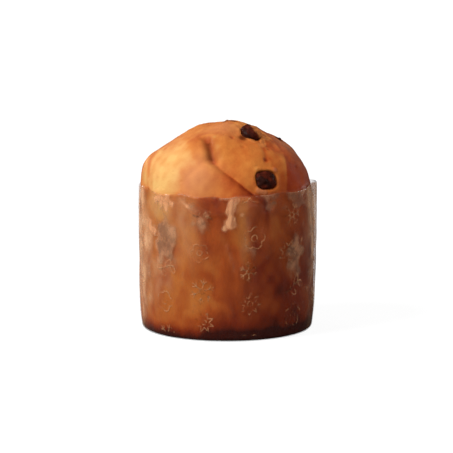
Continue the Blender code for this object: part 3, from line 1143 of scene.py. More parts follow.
@dataclass(frozen=True)
class ChocolateFinish:
    """Dark baked chocolate: dry and a little bloomed on top, and glossier where it isn't."""

    dark: Colour = (0.018, 0.0030, 0.0012)
    bloomed: Colour = (0.060, 0.007, 0.0022)
    skin: Colour = (0.40, 0.125, 0.030)
    patch: float = 3.0 * MM
    patch_edge: Span = (0.38, 0.66)
    grain: float = 0.8 * MM
    relief: float = 0.06 * MM
    roughness: Span = (0.5, 0.8)  # of the dark and of the bloomed chocolate

    def material(self) -> bpy.types.Material:
        """Makes the material.

        Returns:
            The finished material.
        """
        make = Finish("chocolate")
        bloom = make.spread(make.noise(self.patch), *self.patch_edge)
        chocolate = make.mix(bloom, self.dark, self.bloomed)
        return make.dress(
            Base_Color=make.mix(make.stored("skin"), chocolate, self.skin),
            Roughness=make.spread(bloom, 0.0, 1.0, self.roughness),
            Normal=make.bump(make.noise(self.grain), self.relief),
            Specular_IOR_Level=0.06,
        )


# ---------------------------------------------------------------- chips

@dataclass(frozen=True)
class Skin:
    """Dough that has baked over part of a chip."""

    towards: tuple[float, float, float] = (0, 0, 1)  # the side of the chip where it lies
    start: float = 0  # how far to that side of the chip's middle it starts
    cover: float = 0  # how well it covers


@dataclass(frozen=True)
class Chip:
    """One chocolate chip set into the crust, as the solid has it."""

    azimuth: float  # degrees
    elevation: float
    length: float
    width: float
    turn: float  # degrees, of its length from the level direction
    taper: float  # how much narrower one end is, 0 to 1
    skin: Skin = Skin()
    squareness: float = 3.0

    def outline(self, direction: Array) -> Array:
        """How far out each direction is from the chip's middle: 1 on its outline.

        Args:
            direction: Unit directions from the dome's centre.

        Returns:
            One number for each direction, 9 on the far side.
        """
        out = spherical(np.radians(self.azimuth), np.radians(self.elevation))
        phi, turn = math.radians(self.azimuth), math.radians(self.turn)
        level = np.array([-math.sin(phi), math.cos(phi), 0.0])
        upward = np.cross(out, level)
        along = math.cos(turn) * level + math.sin(turn) * upward
        across = math.cos(turn) * upward - math.sin(turn) * level
        facing = direction @ out
        scale = float(DOME.reach(out)) / np.maximum(facing, 0.2)
        u = direction @ along * scale / (self.length / 2)
        v = direction @ across * scale / (self.width / 2)
        narrow = np.maximum(1 - self.taper * (np.clip(u, -1.2, 1.2) + 1) / 2, 0.2)
        size = np.abs(u) ** self.squareness + np.abs(v / narrow) ** self.squareness
        return np.where(facing > 0.5, size ** (1 / self.squareness), 9.0)


CHIPS = (
    Chip(-45.5, 65.3, 8.6 * MM, 8.2 * MM, 56, 0.14, Skin((0.80, 0.10, 0.59), 2.2 * MM, 0.9)),
    Chip(-60, 22.6, 9.0 * MM, 8.0 * MM, -2, 0.08),
    Chip(20, 88, 5.8 * MM, 4.8 * MM, 60, 0.30, Skin((0.0, 0.0, 1.0), -9.0 * MM, 0.45)),
    Chip(8, 50, 4.4 * MM, 3.8 * MM, -25, 0.20),
    Chip(38, 27, 8.0 * MM, 6.4 * MM, 35, 0.35),
    Chip(72, 46, 6.8 * MM, 6.0 * MM, -40, 0.15),
    Chip(122, 54, 7.6 * MM, 6.2 * MM, 70, 0.45),
    Chip(101, 20, 7.2 * MM, 6.6 * MM, 5, 0.20),
    Chip(141, 27, 6.4 * MM, 5.4 * MM, -15, 0.30),
)


@dataclass(frozen=True)
class Chips:
    """The nine chips, each with the broken faces and fine roughness of baked chocolate."""

    weld: float = 0.001 * MM  # points of the solid nearer than this become one
    rounding: int = 2  # levels of subdivision
    rough: tuple[Span, ...] = (  # strength and size of the unevenness
        (0.16 * MM, 2.2 * MM),
        (0.05 * MM, 1.2 * MM),
    )
    skin_ragged: Span = (0.15 * MM, 2.5 * MM)
    skin_edge: float = 0.3 * MM

    def build(self, nodes: dict[str, bpy.types.Object]) -> None:
        """Makes one detailed chip in the place of each solid one.

        Args:
            nodes: The frame's objects by name.
        """
        finish = ChocolateFinish().material()
        for number, chip in enumerate(CHIPS, start=1):
            node = nodes[f"chip_{number}"]
            mesh = self.roughened(node, number, chip.skin)
            piece = add_piece(f"chip_{number}_detail", mesh, finish)
            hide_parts(node.name)
            LOG.info("%s: %d faces", piece.name, len(mesh.polygons))

    def roughened(self, node: bpy.types.Object, number: int, skin: Skin) -> bpy.types.Mesh:
        """The solid chip's surface, rounded and then given fine relief and its skin of dough.

        Args:
            node: The chip as the frame holds it.
            number: Of the chip, which also chooses the relief.
            skin: The dough over it.

        Returns:
            A closed mesh in the same place.
        """
        bm = bmesh.new()
        bm.from_mesh(node.data)
        bmesh.ops.remove_doubles(bm, verts=bm.verts, dist=self.weld)
        rounded = bpy.data.meshes.new(f"{node.name}_rounded")
        bm.to_mesh(rounded)
        bm.free()
        helper = bpy.data.objects.new("chip_helper", rounded)
        bpy.context.scene.collection.objects.link(helper)
        helper.modifiers.new("round", "SUBSURF").levels = self.rounding
        mesh = settled(helper)
        points, solid = mesh_points(mesh), mesh_points(node.data)
        low, high = points.min(axis=0), points.max(axis=0)
        share = (points - low) / (high - low)
        points = solid.min(axis=0) + share * (solid.max(axis=0) - solid.min(axis=0))
        outward = mesh_points(mesh, "normal")
        for step, (strength, size) in enumerate(self.rough, start=1):
            uneven = ripple(points, size, number + 100 * step)
            points = points + outward * (strength * uneven)[:, None]
        mesh.vertices.foreach_set("co", points.ravel())
        ragged, ragged_wave = self.skin_ragged
        along = (points - (low + high) / 2) @ np.array(skin.towards)
        along = along + ragged * ripple(points, ragged_wave, seed=95) - skin.start
        set_values(mesh, "skin", skin.cover * smooth(along, -self.skin_edge, self.skin_edge))
        mesh.materials.clear()
        mesh.shade_smooth()
        return mesh


# ---------------------------------------------------------------- crust

@dataclass(frozen=True)
class Crust:
    """The loaf's whole surface, finely meshed: side and foot under the paper, dome above it."""

    columns: int = 384
    foot_rows: int = 6
    corner_rows: int = 7
    side_rows: int = 66
    dome_rows: int = 168
    foot: float = 0.3 * MM
    relief_start: float = math.radians(6)  # how far above the waist the fine relief is full
    chip_sink: float = 1.5 * MM
    chip_hole: Span = (0.78, 1.06)  # its wall, as shares of the chip's outline
    chip_swell: float = 0.14 * MM
    swell_uneven: float = 0.5
    swell_wave: float = 4 * MM
    swell_middle: float = 1.22  # shares of the chip's outline
    swell_width: float = 0.18

    def rows(self) -> Array:
        """The rows of points from the foot to the top.

        Returns:
            Points as row, column, coordinate.
        """
        azimuth = ring_angles(self.columns)
        edge = self.foot + CASE.corner
        low = CASE.crust_side(azimuth, edge + 0 * azimuth)
        rows = [
            ring(azimuth, (low - CASE.corner) * share, self.foot)
            for share in np.linspace(0, 1, self.foot_rows + 1)[1:]
        ]
        for step in np.linspace(0, math.pi / 2, self.corner_rows)[1:]:
            height = CASE.corner * (1 - math.cos(step))
            radius = low - CASE.corner_inset(height, CASE.corner)
            rows.append(ring(azimuth, radius, self.foot + height))
        for height in np.linspace(edge, DOME.centre, self.side_rows + 1)[1:-1]:
            rows.append(ring(azimuth, CASE.crust_side(azimuth, height + 0 * azimuth), height))
        for elevation in np.radians(np.linspace(0, 90, self.dome_rows + 1)[:-1]):
            rows.append(self.dome_row(azimuth, elevation))
        return np.array(rows)

    def dome_row(self, azimuth: Array, elevation: float) -> Array:
        """One row of the dome, with its fine relief and the hollows that hold the chips.

        Args:
            azimuth: Of the row's points, in radians.
            elevation: Of the row, in radians.

        Returns:
            The row's points.
        """
        direction = spherical(azimuth, elevation + 0 * azimuth)
        detail = DOME.fine_relief(direction)
        uneven = ripple(DOME.radius * direction, self.swell_wave, seed=71)
        swell = self.chip_swell * (1 + self.swell_uneven * uneven)
        for chip in CHIPS:
            out = chip.outline(direction)
            lip = swell * bell((out - self.swell_middle) / self.swell_width)
            detail = detail + lip - self.chip_sink * (1 - smooth(out, *self.chip_hole))
        reach = DOME.reach(direction) + smooth(elevation, 0, self.relief_start) * detail
        return CASE.inside_paper(azimuth, reach[:, None] * direction + [0, 0, DOME.centre])

    def build(self) -> None:
        """Makes the crust and stores how each point of it is baked, with painted shade and light.
        """
        top = float(DOME.reach(np.array([0.0, 0.0, 1.0]))) - self.chip_sink
        mesh = lofted("crust", (0, 0, self.foot), self.rows(), (0, 0, DOME.centre + top))
        for name, values in BakeAndPaintedShading().of_crust(mesh_points(mesh)).items():
            set_values(mesh, name, values)
        piece = add_piece("crust", mesh, CrustFinish().material())
        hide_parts("loaf")
        LOG.info("crust: %d faces", len(mesh.polygons))


# Darker and paler upright streaks of the side crust: azimuth in degrees, height of the middle,
# half-width, reach up and down, and how much darker. The darker ones at -103 degrees under the rim
# and at -106 degrees by the foot are partly painted shade.
SIDE_STREAKS = (
    (-63, 52 * MM, 1.2 * MM, 6 * MM, 0.25),
    (-79, 43 * MM, 3.4 * MM, 15 * MM, -0.28),
    (-76, 11 * MM, 7 * MM, 8 * MM, -0.08),
    (-45, 45 * MM, 13 * MM, 8 * MM, -0.15),
    (-114, 39 * MM, 8 * MM, 5 * MM, -0.08),
    (-132, 38 * MM, 6 * MM, 7 * MM, 0.07),
    (-90, 40 * MM, 4 * MM, 6 * MM, -0.12),
    (-105, 45 * MM, 4 * MM, 8 * MM, 0.09),
    (-100, 36 * MM, 4 * MM, 4 * MM, 0.05),
    (-103, 55 * MM, 5.0 * MM, 5 * MM, 0.12),
    (-137, 50 * MM, 6.0 * MM, 7 * MM, -0.24),
    (-106, 4 * MM, 10 * MM, 9 * MM, 0.15),
    (-92, 33 * MM, 4 * MM, 7 * MM, 0.05),
    (-92, 17 * MM, 9 * MM, 13 * MM, -0.12),
    (-152, 51 * MM, 11.0 * MM, 8 * MM, -0.14),
    (-124, 14 * MM, 8.0 * MM, 14 * MM, -0.06),
    (-122, 28 * MM, 4.0 * MM, 4 * MM, 0.06),
    (14, 40 * MM, 2.0 * MM, 12 * MM, 0.15),
    (52, 22 * MM, 6.0 * MM, 10 * MM, -0.12),
    (96, 46 * MM, 2.5 * MM, 9 * MM, 0.2),
    (140, 26 * MM, 6.0 * MM, 12 * MM, -0.1),
)

# Darker dough on the dome, or paler if negative: azimuth, elevation, reach across and up, all in
# degrees, and strength. The paler patches by the left and right outlines are partly painted sheen.
DOME_TINTS = (
    (-30, 48, 12, 7, 0.10),
    (-59, 54, 16, 6, 0.12),
    (-42, 20, 26, 12, -0.07),
    (-50, 13, 8, 8, 0.12),
    (-2, 50, 24, 12, -0.14),
    (-165, 50, 28, 12, -0.08),
)

# Where the dome is paler and duller, partly dust and partly painted sheen on its top and by its
# outlines: the same columns.
DUST_AND_SHEEN_PATCHES = (
    (-114, 25, 15, 19, 0.50),
    (-105, 76, 60, 14, 0.35),
    (-165, 46, 24, 14, 0.30),
    (-2, 46, 24, 13, 0.35),
)


@dataclass(frozen=True)
class BakeAndPaintedShading:
    """How dark the crust is from place to place, 0 palest and 1 darkest: its bake, with painted
    shade and light in places.
    """

    side: float = 0.40
    side_clouds: tuple[tuple[float, float, int], ...] = (  # strength, size and seed
        (0.04, 15 * MM, 81),
        (0.02, 6 * MM, 82),
    )
    soaked: float = 0.10  # how much darker the crust is in the patches where the paper clings
    # side_middle and side_right: partly a deeper bake, partly painted shade on the side away from
    # the key light.
    side_middle: float = 0.13  # from the front round to the right
    middle_edge: Span = (math.radians(-108), math.radians(6))  # where that starts, and how softly
    side_right: float = 0.10  # further round, from a fold that leans to the left on its way down
    side_right_low: float = 0.12  # how much more of it at the foot
    fold_top: float = -74.5  # azimuths in degrees at the rim and the foot
    fold_foot: float = -92.0
    fold_soft: Span = (2, 14)  # degrees at the rim, and how many more at the foot
    fold_blend: Span = (-1, 0.4)
    back: Span = (math.radians(125), math.radians(175))  # where the right side ends
    # foot and above_foot: darker towards the foot, partly a darker-baked base, partly painted
    # shade.
    foot: float = 0.48
    foot_fade: Span = (1 * MM, 7 * MM)
    above_foot: float = 0.09
    above_foot_fade: Span = (4 * MM, 14 * MM)
    streak: float = 0.14  # painted shade along the upright fold, at the rim
    streak_low: float = 0.07  # and at its lower end
    streak_fade: Span = (34 * MM, 52 * MM)
    dome_clouds: tuple[tuple[float, float, int, int], ...] = (  # the same, and number of waves
        (0.04, 12 * MM, 83, 30),
        (0.03, 4 * MM, 84, 40),
    )
    front: float = 0.33
    front_half: Span = (0.0, 0.15)  # shares of the dome's radius to the front
    # front_right: partly a deeper bake, partly painted shade on the side away from the key light
    front_right: float = 0.08  # how much more of it towards the right border
    front_right_fade: Span = (0.25, 0.65)
    # crown: painted sheen, the top of the dome a little paler
    crown: float = -0.01
    crown_fade: Span = (0.8, 0.97)
    facet: float = -0.285  # paler dough and painted light on the left facet facing the key light
    facet_top: Span = (math.sin(math.radians(34)), math.sin(math.radians(56)))
    facet_blend: Span = (-1.0, 0.4)
    facet_soft: Span = (1.5 * MM, 2.5 * MM)  # at the top, and how much more low down
    shoulder: float = 0.10  # the strip along the left outline
    shoulder_soft: float = 1.5 * MM
    glow: float = 0.44  # darker below the seam: deeper bake and painted shade
    glow_reach: float = 5.4 * MM
    glow_edge: Span = (-0.4 * MM, 0.5 * MM)
    glow_start: Span = (0.15, 0.85)  # shares of the way along the seam
    pit: float = 0.15
    pit_depths: Span = (0.06 * MM, 0.3 * MM)
    crumb: float = 0.08
    crumb_heights: Span = (0.05 * MM, 0.3 * MM)
    crumb_dust: float = 0.35
    broken: float = 0.7  # how far the broken crust beside the upper chip shows its crumb
    broken_wave: float = 4.2 * MM
    broken_edge: Span = (0.5, 1.2)
    chip_stain: Span = (0.95, 1.12)  # shares of the chip's outline
    chip_clean: Table = ((-18, 65, 20, 7, 0.9),)  # as in DOME_TINTS
    nick_stain: float = 0.72  # the brown bottom of the nick
    nick_stain_reach: float = 1.3 * MM
    nick_shade: float = 0.22  # painted shade on the crust to the right of it
    nick_shade_reach: float = 1.9 * MM
    nick_wall: Line = Line(((-113, 53.5), (-110, 49), (-107, 43.5), (-105.5, 41)))
    nick_side: Line = Line(((-110, 58), (-104, 51), (-98.5, 42)))
    rim_fade: Span = (-1.0 * MM, 0.2 * MM)  # from the side's bake to the dome's
    rim_line: float = 0.05  # the thin shade over the paper's cut edge
    rim_line_place: Span = (0.3 * MM, 0.6 * MM)  # height above it and reach
    wrapped_soft: float = 0.5 * MM
    # Deep red beyond the right border: partly a deeper bake, partly painted shade on the side away
    # from the key light.
    seared_and_shaded: Table = ((-35, 23, 14, 14, 0.85),)  # beyond the right border
    # right: darker beyond the right border, partly a deeper bake, partly painted shade on the side
    # away from the key light.
    right: float = 0.20
    right_fade: Span = (0.1, 0.35)
    right_blend: Span = (-0.7 * MM, 0.5 * MM)
    right_edge: Line = Line(
        ((-13, 60), (-27, 42), (-36, 33), (-40.5, 25), (-43, 18), (-46, 8), (-46, -4))
    )
    facet_edge: Line = Line(
        ((-140, 64), (-128, 46), (-124, 38), (-127.5, 26), (-128, 13), (-129, -4))
    )
    shoulder_edge: Line = Line(((-172, 50), (-163, 33), (-157, 20), (-153, -4)))

    def of_side(self, azimuth: Array, height: Array) -> Array:
        """The bake of the crust under the paper, with its painted shade.

        Args:
            azimuth: In radians.
            height: Above the foot, in metres.

        Returns:
            One number for each place.
        """
        place = CASE.on_wall(azimuth, height, 0.8)
        clouds = sum(much * ripple(place, size, seed) for much, size, seed in self.side_clouds)
        clouds = clouds + self.soaked * (CASE.clinging(azimuth, height) - 0.5)
        down = 1 - height / CASE.height
        fold = np.radians(self.fold_top + (self.fold_foot - self.fold_top) * down)
        rim_soft, more_soft = self.fold_soft
        soft = np.radians(rim_soft + more_soft * np.clip(down, 0, 1))
        back = 1 - smooth(turned_from(azimuth, FRONT), *self.back)
        right = smooth(turned_from(azimuth, fold) / soft, *self.fold_blend) * back
        edge, edge_soft = self.middle_edge
        middle = smooth(turned_from(azimuth, edge), -edge_soft, edge_soft) * back
        foot = self.foot * (1 - smooth(height, *self.foot_fade))
        foot = foot + self.above_foot * (1 - smooth(height, *self.above_foot_fade))
        streaks = sum(
            much * bell(turned_from(azimuth, math.radians(at)) * CASE.radius / width)
            * bell((height - centre) / reach)
            for at, centre, width, reach, much in SIDE_STREAKS
        )
        tuck = self.streak_low + (self.streak - self.streak_low) * smooth(height, *self.streak_fade)
        tuck = tuck * np.sqrt(CASE.tuck(azimuth, height))
        right = self.side_middle * middle + (self.side_right + self.side_right_low * down) * right
        return self.side + clouds + foot + right + tuck + streaks

    def inside_border(self, direction: Array) -> Array:
        """1 on the front side of the border on the right of the dome, 0 beyond it."""
        return smooth(DOME.right_of(self.right_edge, direction), *self.right_blend)

    def of_left(self, direction: Array) -> Array:
        """How much paler or darker the facet and the shoulder on the left of the dome are.

        Args:
            direction: Unit directions from the dome's centre.

        Returns:
            One number for each direction.
        """
        low = 1 - smooth(direction[..., 2], *self.facet_top)
        top_soft, more_soft = self.facet_soft
        soft = top_soft + more_soft * low
        facet = smooth(DOME.right_of(self.facet_edge, direction) / soft, *self.facet_blend)
        outer = DOME.right_of(self.shoulder_edge, direction)
        outer = smooth(outer, -self.shoulder_soft, self.shoulder_soft)
        shape = self.facet * facet * (1 - outer) + (self.shoulder + self.facet) * outer
        return shape * low * smooth(-direction[..., 1], *self.front_half)

    def of_dome(self, direction: Array) -> Array:
        """The bake of the dome, with its painted shade and light.

        Args:
            direction: Unit directions from the dome's centre.

        Returns:
            One number for each direction.
        """
        place = DOME.radius * direction
        clouds = sum(
            much * ripple(place, size, seed, waves) for much, size, seed, waves in self.dome_clouds
        )
        to_right, _, upwards = np.moveaxis(direction, -1, 0)
        right = self.right * smooth(to_right, *self.right_fade)
        right = right * (1 - self.inside_border(direction))
        away, along, side = DOME.seam.line.measure(direction, DOME.radius)
        glow = self.glow * smooth(side, *self.glow_edge) * bell(away / self.glow_reach)
        glow = glow * smooth(along, *self.glow_start)
        front = self.front + self.front_right * smooth(to_right, *self.front_right_fade)
        front = front + self.crown * smooth(upwards, *self.crown_fade)
        lines = sum(line.browning(direction, DOME.radius) for line in DOME.strokes + DOME.marks)
        pits = self.pit * smooth(DOME.spots(direction, PITS), *self.pit_depths)
        crumbs = self.crumb * smooth(DOME.spots(direction, CRUMBS), *self.crumb_heights)
        tints = DOME.patches(direction, DOME_TINTS) + self.of_left(direction)
        return front + clouds + tints + right + glow + lines + pits + crumbs

    def stains_and_shade(self, direction: Array) -> Array:
        """How brown the dome is stained round the chips, in dark spots and in the nick, with
        painted shade beside the nick, 0 to 1.

        Args:
            direction: Unit directions from the dome's centre.

        Returns:
            One number for each direction.
        """
        stain = np.zeros(len(direction))
        for chip in CHIPS:
            stain = np.maximum(stain, 1 - smooth(chip.outline(direction), *self.chip_stain))
        stain = stain * (1 - DOME.patches(direction, self.chip_clean))
        stain = np.maximum(stain, DOME.spots(direction, DARK_SPOTS))
        wall = DOME.away_from(self.nick_wall, direction) / self.nick_stain_reach
        side = DOME.away_from(self.nick_side, direction) / self.nick_shade_reach
        stain = np.maximum(stain, self.nick_stain * bell(wall))
        return np.maximum(stain, self.nick_shade * bell(side))

    def of_crust(self, points: Array) -> dict[str, Array]:
        """The values that the crust's finish reads, for each point of its mesh.

        Args:
            points: Places in metres, one to a row.

        Returns:
            One number for each point, under each name.
        """
        azimuth = np.arctan2(points[:, 1], points[:, 0])
        height = points[:, 2]
        direction = points - [0, 0, DOME.centre]
        direction = direction / np.linalg.norm(direction, axis=1, keepdims=True)
        over_rim = height - CASE.rim_height(azimuth)
        above = smooth(over_rim, *self.rim_fade)
        bake = self.of_side(azimuth, height) * (1 - above) + self.of_dome(direction) * above
        line_height, line_reach = self.rim_line_place
        bake = bake + self.rim_line * bell((over_rim - line_height) / line_reach)
        broken = ripple(DOME.radius * direction, self.broken_wave, seed=44)
        broken = smooth(DOME.crumbly(direction) * (1 + 0.9 * broken), *self.broken_edge)
        crumbs = smooth(DOME.spots(direction, CRUMBS), *self.crumb_heights)
        dust_and_sheen = DOME.patches(direction, DUST_AND_SHEEN_PATCHES) + self.crumb_dust * crumbs
        seared_and_shaded = (1 - self.inside_border(direction)) * DOME.patches(direction, self.seared_and_shaded)
        return {
            "bake": bake,
            # stain holds the stains and the painted shade beside the nick
            "stain": above * self.stains_and_shade(direction),
            "crumb": above * self.broken * broken,
            "dust_and_sheen": above * dust_and_sheen,
            "wrapped": 1 - smooth(over_rim, -self.wrapped_soft, self.wrapped_soft),
            "seared_and_shaded": above * seared_and_shaded,
        }


# ---------------------------------------------------------------- paper

# Where the paper is milky without standing far off the crust, or clearer if negative: azimuth and
# height of the middle, reach across in degrees and up, and strength. The patches at the left and
# right of the front, near azimuths -12 and -170, are partly painted sheen.
MILKY_PATCHES = (
    (-12, 54 * MM, 13, 7 * MM, 0.9),
    (-14, 40 * MM, 11, 15 * MM, 0.75),
    (-9, 16 * MM, 10, 14 * MM, 0.6),
    (10, 50 * MM, 8, 5 * MM, 0.5),
    (-105, 46 * MM, 11, 10 * MM, -0.42),
    (-102, 52 * MM, 6, 5 * MM, 0.30),
    (-112, 53 * MM, 5, 5 * MM, 0.50),
    (-135, 52 * MM, 11, 4.5 * MM, -0.35),
    (-71, 53 * MM, 7, 7 * MM, -0.6),
    (-38, 54 * MM, 8, 4 * MM, 0.5),
    (-40, 37 * MM, 7, 6 * MM, 0.20),
    (-169, 36 * MM, 9, 20 * MM, 0.6),
    (178, 16 * MM, 8, 9 * MM, 0.6),
    (-116, 54 * MM, 8, 3 * MM, 0.55),
    (-154, 30 * MM, 5, 16 * MM, 0.4),
    (40, 20 * MM, 9, 8 * MM, 0.6),
    (88, 52 * MM, 10, 5 * MM, 0.6),
    (136, 16 * MM, 7, 7 * MM, 0.5),
)

# Where the paper is pale and smooth, partly dried and partly painted sheen, most of all at the
# left and right of the front: the same columns.
PALE_AND_SHEEN_PATCHES = (
    (-165, 43 * MM, 9, 22 * MM, 1.15),
    (-166, 8 * MM, 9, 20 * MM, 0.45),
    (-178, 52 * MM, 7, 12 * MM, 0.5),
    (-78, 42 * MM, 5, 8 * MM, 0.28),
    (-14, 46 * MM, 12, 18 * MM, 1.0),
    (-132, 27 * MM, 6, 6 * MM, 0.40),
    (-152, 37 * MM, 6, 8 * MM, 0.25),
    (-14, 16 * MM, 10, 18 * MM, 0.30),
    (-118, 46 * MM, 10, 14 * MM, 0.42),
    (-148, 26 * MM, 13, 14 * MM, 0.40),
    (-138, 52 * MM, 10, 6 * MM, 0.30),
    (172, 24 * MM, 8, 13 * MM, 0.40),
    (60, 46 * MM, 12, 12 * MM, 0.35),
    (116, 24 * MM, 13, 18 * MM, 0.30),
)

# Pale raised folds of the paper, partly milky and partly a painted highlight: azimuth and height
# of the top and of the lower end, half-width, and strength. Azimuths are in degrees.
PALE_FOLDS = (
    (-87.0, 58 * MM, -88.0, 41 * MM, 2.9 * MM, 1.2),
    (-132, 57.5 * MM, -132, 49 * MM, 3.8 * MM, 1.3),
    (-121, 56 * MM, -113, 51 * MM, 0.9 * MM, 0.75),
    (-152.5, 47 * MM, -141.5, 39 * MM, 2.0 * MM, 1.3),
    (-143, 37 * MM, -138, 27 * MM, 0.9 * MM, 0.5),
    (-172, 32 * MM, -163, 5 * MM, 2.2 * MM, 0.65),
    (-33, 46 * MM, -36, 34 * MM, 0.8 * MM, 0.45),
    (14, 57 * MM, 10, 20 * MM, 2.0 * MM, 0.5),
    (44, 52 * MM, 38, 30 * MM, 1.4 * MM, 0.6),
    (80, 56 * MM, 74, 40 * MM, 1.6 * MM, 0.7),
    (118, 50 * MM, 112, 28 * MM, 1.5 * MM, 0.6),
    (150, 57 * MM, 153, 36 * MM, 1.6 * MM, 0.6),
)


@dataclass(frozen=True)
class Film:
    """The paper case as a closed thin shell, outside and inside, with its wrinkles."""

    columns: int = 340
    base_rows: int = 4
    corner_rows: int = 6
    wall_rows: int = 122
    innermost: float = 0.5 * MM  # least radius of the inside, at the middle of its base
    deep: float = 0.72 * MM  # a hollow this deep behind the paper makes it fully milky
    deep_curve: float = 1.6
    loose: float = 0.5  # how milky it is where it stands off on the right
    free: float = 0.55  # and where it stands free of the dome
    free_gap: Span = (0.9 * MM, 2.2 * MM)
    free_start: Span = (-4 * MM, 2 * MM)  # heights above the waist
    pleat: float = 0.35  # and along a pleat of the usual rise
    pleat_rise: float = 0.4 * MM
    apart: float = 0.22  # how milky it is between the patches where it clings
    apart_start: Span = (3 * MM, 9 * MM)
    most: float = 1.2
    ragged: float = 0.9 * MM  # how far the edges of the milky patches wander
    ragged_wave: float = 6 * MM
    dry_sway: Span = (0.05, 14 * MM)
    dry_uneven: Span = (0.22, 7 * MM)
    fold_sway: Span = (0.22, 5 * MM)
    fold_uneven: Span = (0.3, 4 * MM)
    fold_start: Span = (-0.15, 0.5)  # shares of the way up the fold
    fold_end: Span = (0.7, 1.3)

    def radius_and_height(self) -> tuple[Array, Array, Array]:
        """Azimuth, outside radius and height of the rows up the outside.

        Returns:
            Azimuths of the columns, then radii and heights as row, column.
        """
        azimuth = ring_angles(self.columns)
        rim = CASE.rim_height(azimuth)
        low = CASE.paper_outside(azimuth, CASE.corner + 0 * azimuth)
        shares = np.linspace(0, 1, self.base_rows + 1)[1:]
        radii = [(low - CASE.corner) * share for share in shares]
        heights = [0 * azimuth] * self.base_rows
        for step in np.linspace(0, math.pi / 2, self.corner_rows + 1)[1:]:
            height = CASE.corner * (1 - math.cos(step))
            radii.append(low - CASE.corner_inset(height, CASE.corner))
            heights.append(height + 0 * azimuth)
        for share in np.linspace(0, 1, self.wall_rows + 1)[1:]:
            height = CASE.corner + (rim - CASE.corner) * share
            radii.append(CASE.paper_outside(azimuth, height))
            heights.append(height)
        return azimuth, np.array(radii), np.array(heights)

    def build(self) -> None:
        """Makes the case and stores how it looks at each point of it."""
        azimuth, radii, heights = self.radius_and_height()
        outside = [ring(azimuth, radius, height) for radius, height in zip(radii, heights)]
        radii = np.maximum(radii - CASE.paper, self.innermost)
        heights = np.maximum(heights, CASE.paper)
        inside = [ring(azimuth, radius, height) for radius, height in zip(radii, heights)]
        rows = np.array(outside + inside[::-1])
        mesh = lofted("paper", (0, 0, 0), rows, (0, 0, CASE.paper))
        x, y, height = mesh_points(mesh).T
        turn = np.arctan2(y, x)
        set_values(mesh, "haze", self.haze(turn, height))
        set_values(mesh, "pale", self.pale(turn, height))
        set_values(mesh, "dry", self.dry(turn, height))
        set_values(mesh, "bake", BakeAndPaintedShading().of_side(turn, height))
        piece = add_piece("paper", mesh, PaperFinish().material())
        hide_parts("paper_case")
        LOG.info("paper: %d faces", len(mesh.polygons))

    @staticmethod
    def patches(table: Table, azimuth: Array, height: Array) -> list[Array]:
        """How strong each patch of a table is at these places."""
        return [
            strength * bell(np.degrees(turned_from(azimuth, math.radians(middle))) / across)
            * bell((height - centre) / up)
            for middle, centre, across, up, strength in table
        ]

    def haze(self, azimuth: Array, height: Array) -> Array:
        """How milky the paper is where it stands off the crust, 0 clear to 1; some patches are
        partly painted sheen.

        Args:
            azimuth: In radians.
            height: Above the foot, in metres.

        Returns:
            One number for each place.
        """
        place = CASE.on_wall(azimuth, height, 1)
        azimuth = azimuth + self.ragged / CASE.radius * ripple(place, self.ragged_wave, seed=93)
        height = height + self.ragged * ripple(place, self.ragged_wave, seed=94)
        height = np.clip(height, 0, None)
        hollows = (CASE.hollows(azimuth, height) / self.deep) ** self.deep_curve
        loose = self.loose * CASE.loose(azimuth, height)
        gap = CASE.paper_outside(azimuth, height) - CASE.paper - self.crust_behind(azimuth, height)
        free = self.free * smooth(gap, *self.free_gap)
        free = free * smooth(height - DOME.centre, *self.free_start)
        pleats = self.pleat * CASE.pleats(azimuth, height) / self.pleat_rise
        patches = self.patches(MILKY_PATCHES, azimuth, height)
        haze = np.maximum.reduce([hollows, loose, free, pleats, *patches])
        soaked = sum(np.minimum(patch, 0) for patch in patches)
        apart = self.apart * (1 - CASE.clinging(azimuth, height))
        apart = apart * smooth(height, *self.apart_start)
        return np.clip(haze + soaked + apart, 0, self.most)

    def dry(self, azimuth: Array, height: Array) -> Array:
        """How pale and smooth the paper is, 0 to 1: partly dried, partly painted sheen.

        Args:
            azimuth: In radians.
            height: Above the foot, in metres.

        Returns:
            One number for each place.
        """
        place = CASE.on_wall(azimuth, height, 0.8)
        (sway, sway_wave), (uneven, uneven_wave) = self.dry_sway, self.dry_uneven
        azimuth = azimuth + sway * ripple(place, sway_wave, seed=97)
        total = sum(self.patches(PALE_AND_SHEEN_PATCHES, azimuth, height))
        return np.clip(total * (1 + uneven * ripple(place, uneven_wave, seed=98)), 0, 1)

    def pale(self, azimuth: Array, height: Array) -> Array:
        """How pale the paper is along its raised folds, 0 to 1: partly painted highlight.

        Args:
            azimuth: In radians.
            height: Above the foot, in metres.

        Returns:
            One number for each place.
        """
        total = 0 * azimuth
        place = CASE.on_wall(azimuth, height, 1)
        (sway, sway_wave), (swell, swell_wave) = self.fold_sway, self.fold_uneven
        sway = sway * ripple(place, sway_wave, seed=91)
        swell = 1 + swell * ripple(place, swell_wave, seed=92)
        for top_azimuth, top, foot_azimuth, foot, width, strength in PALE_FOLDS:
            share = np.clip((height - foot) / (top - foot), -0.5, 1.5)
            middle = np.radians(foot_azimuth + (top_azimuth - foot_azimuth) * share)
            across = turned_from(azimuth, middle) * CASE.radius / width + sway
            taper = smooth(share, *self.fold_start) * (1.1 - smooth(share, *self.fold_end))
            taper = np.clip(taper, 0.02, 1) * swell
            total = np.maximum(total, strength * taper * bell(across / taper))
        return total

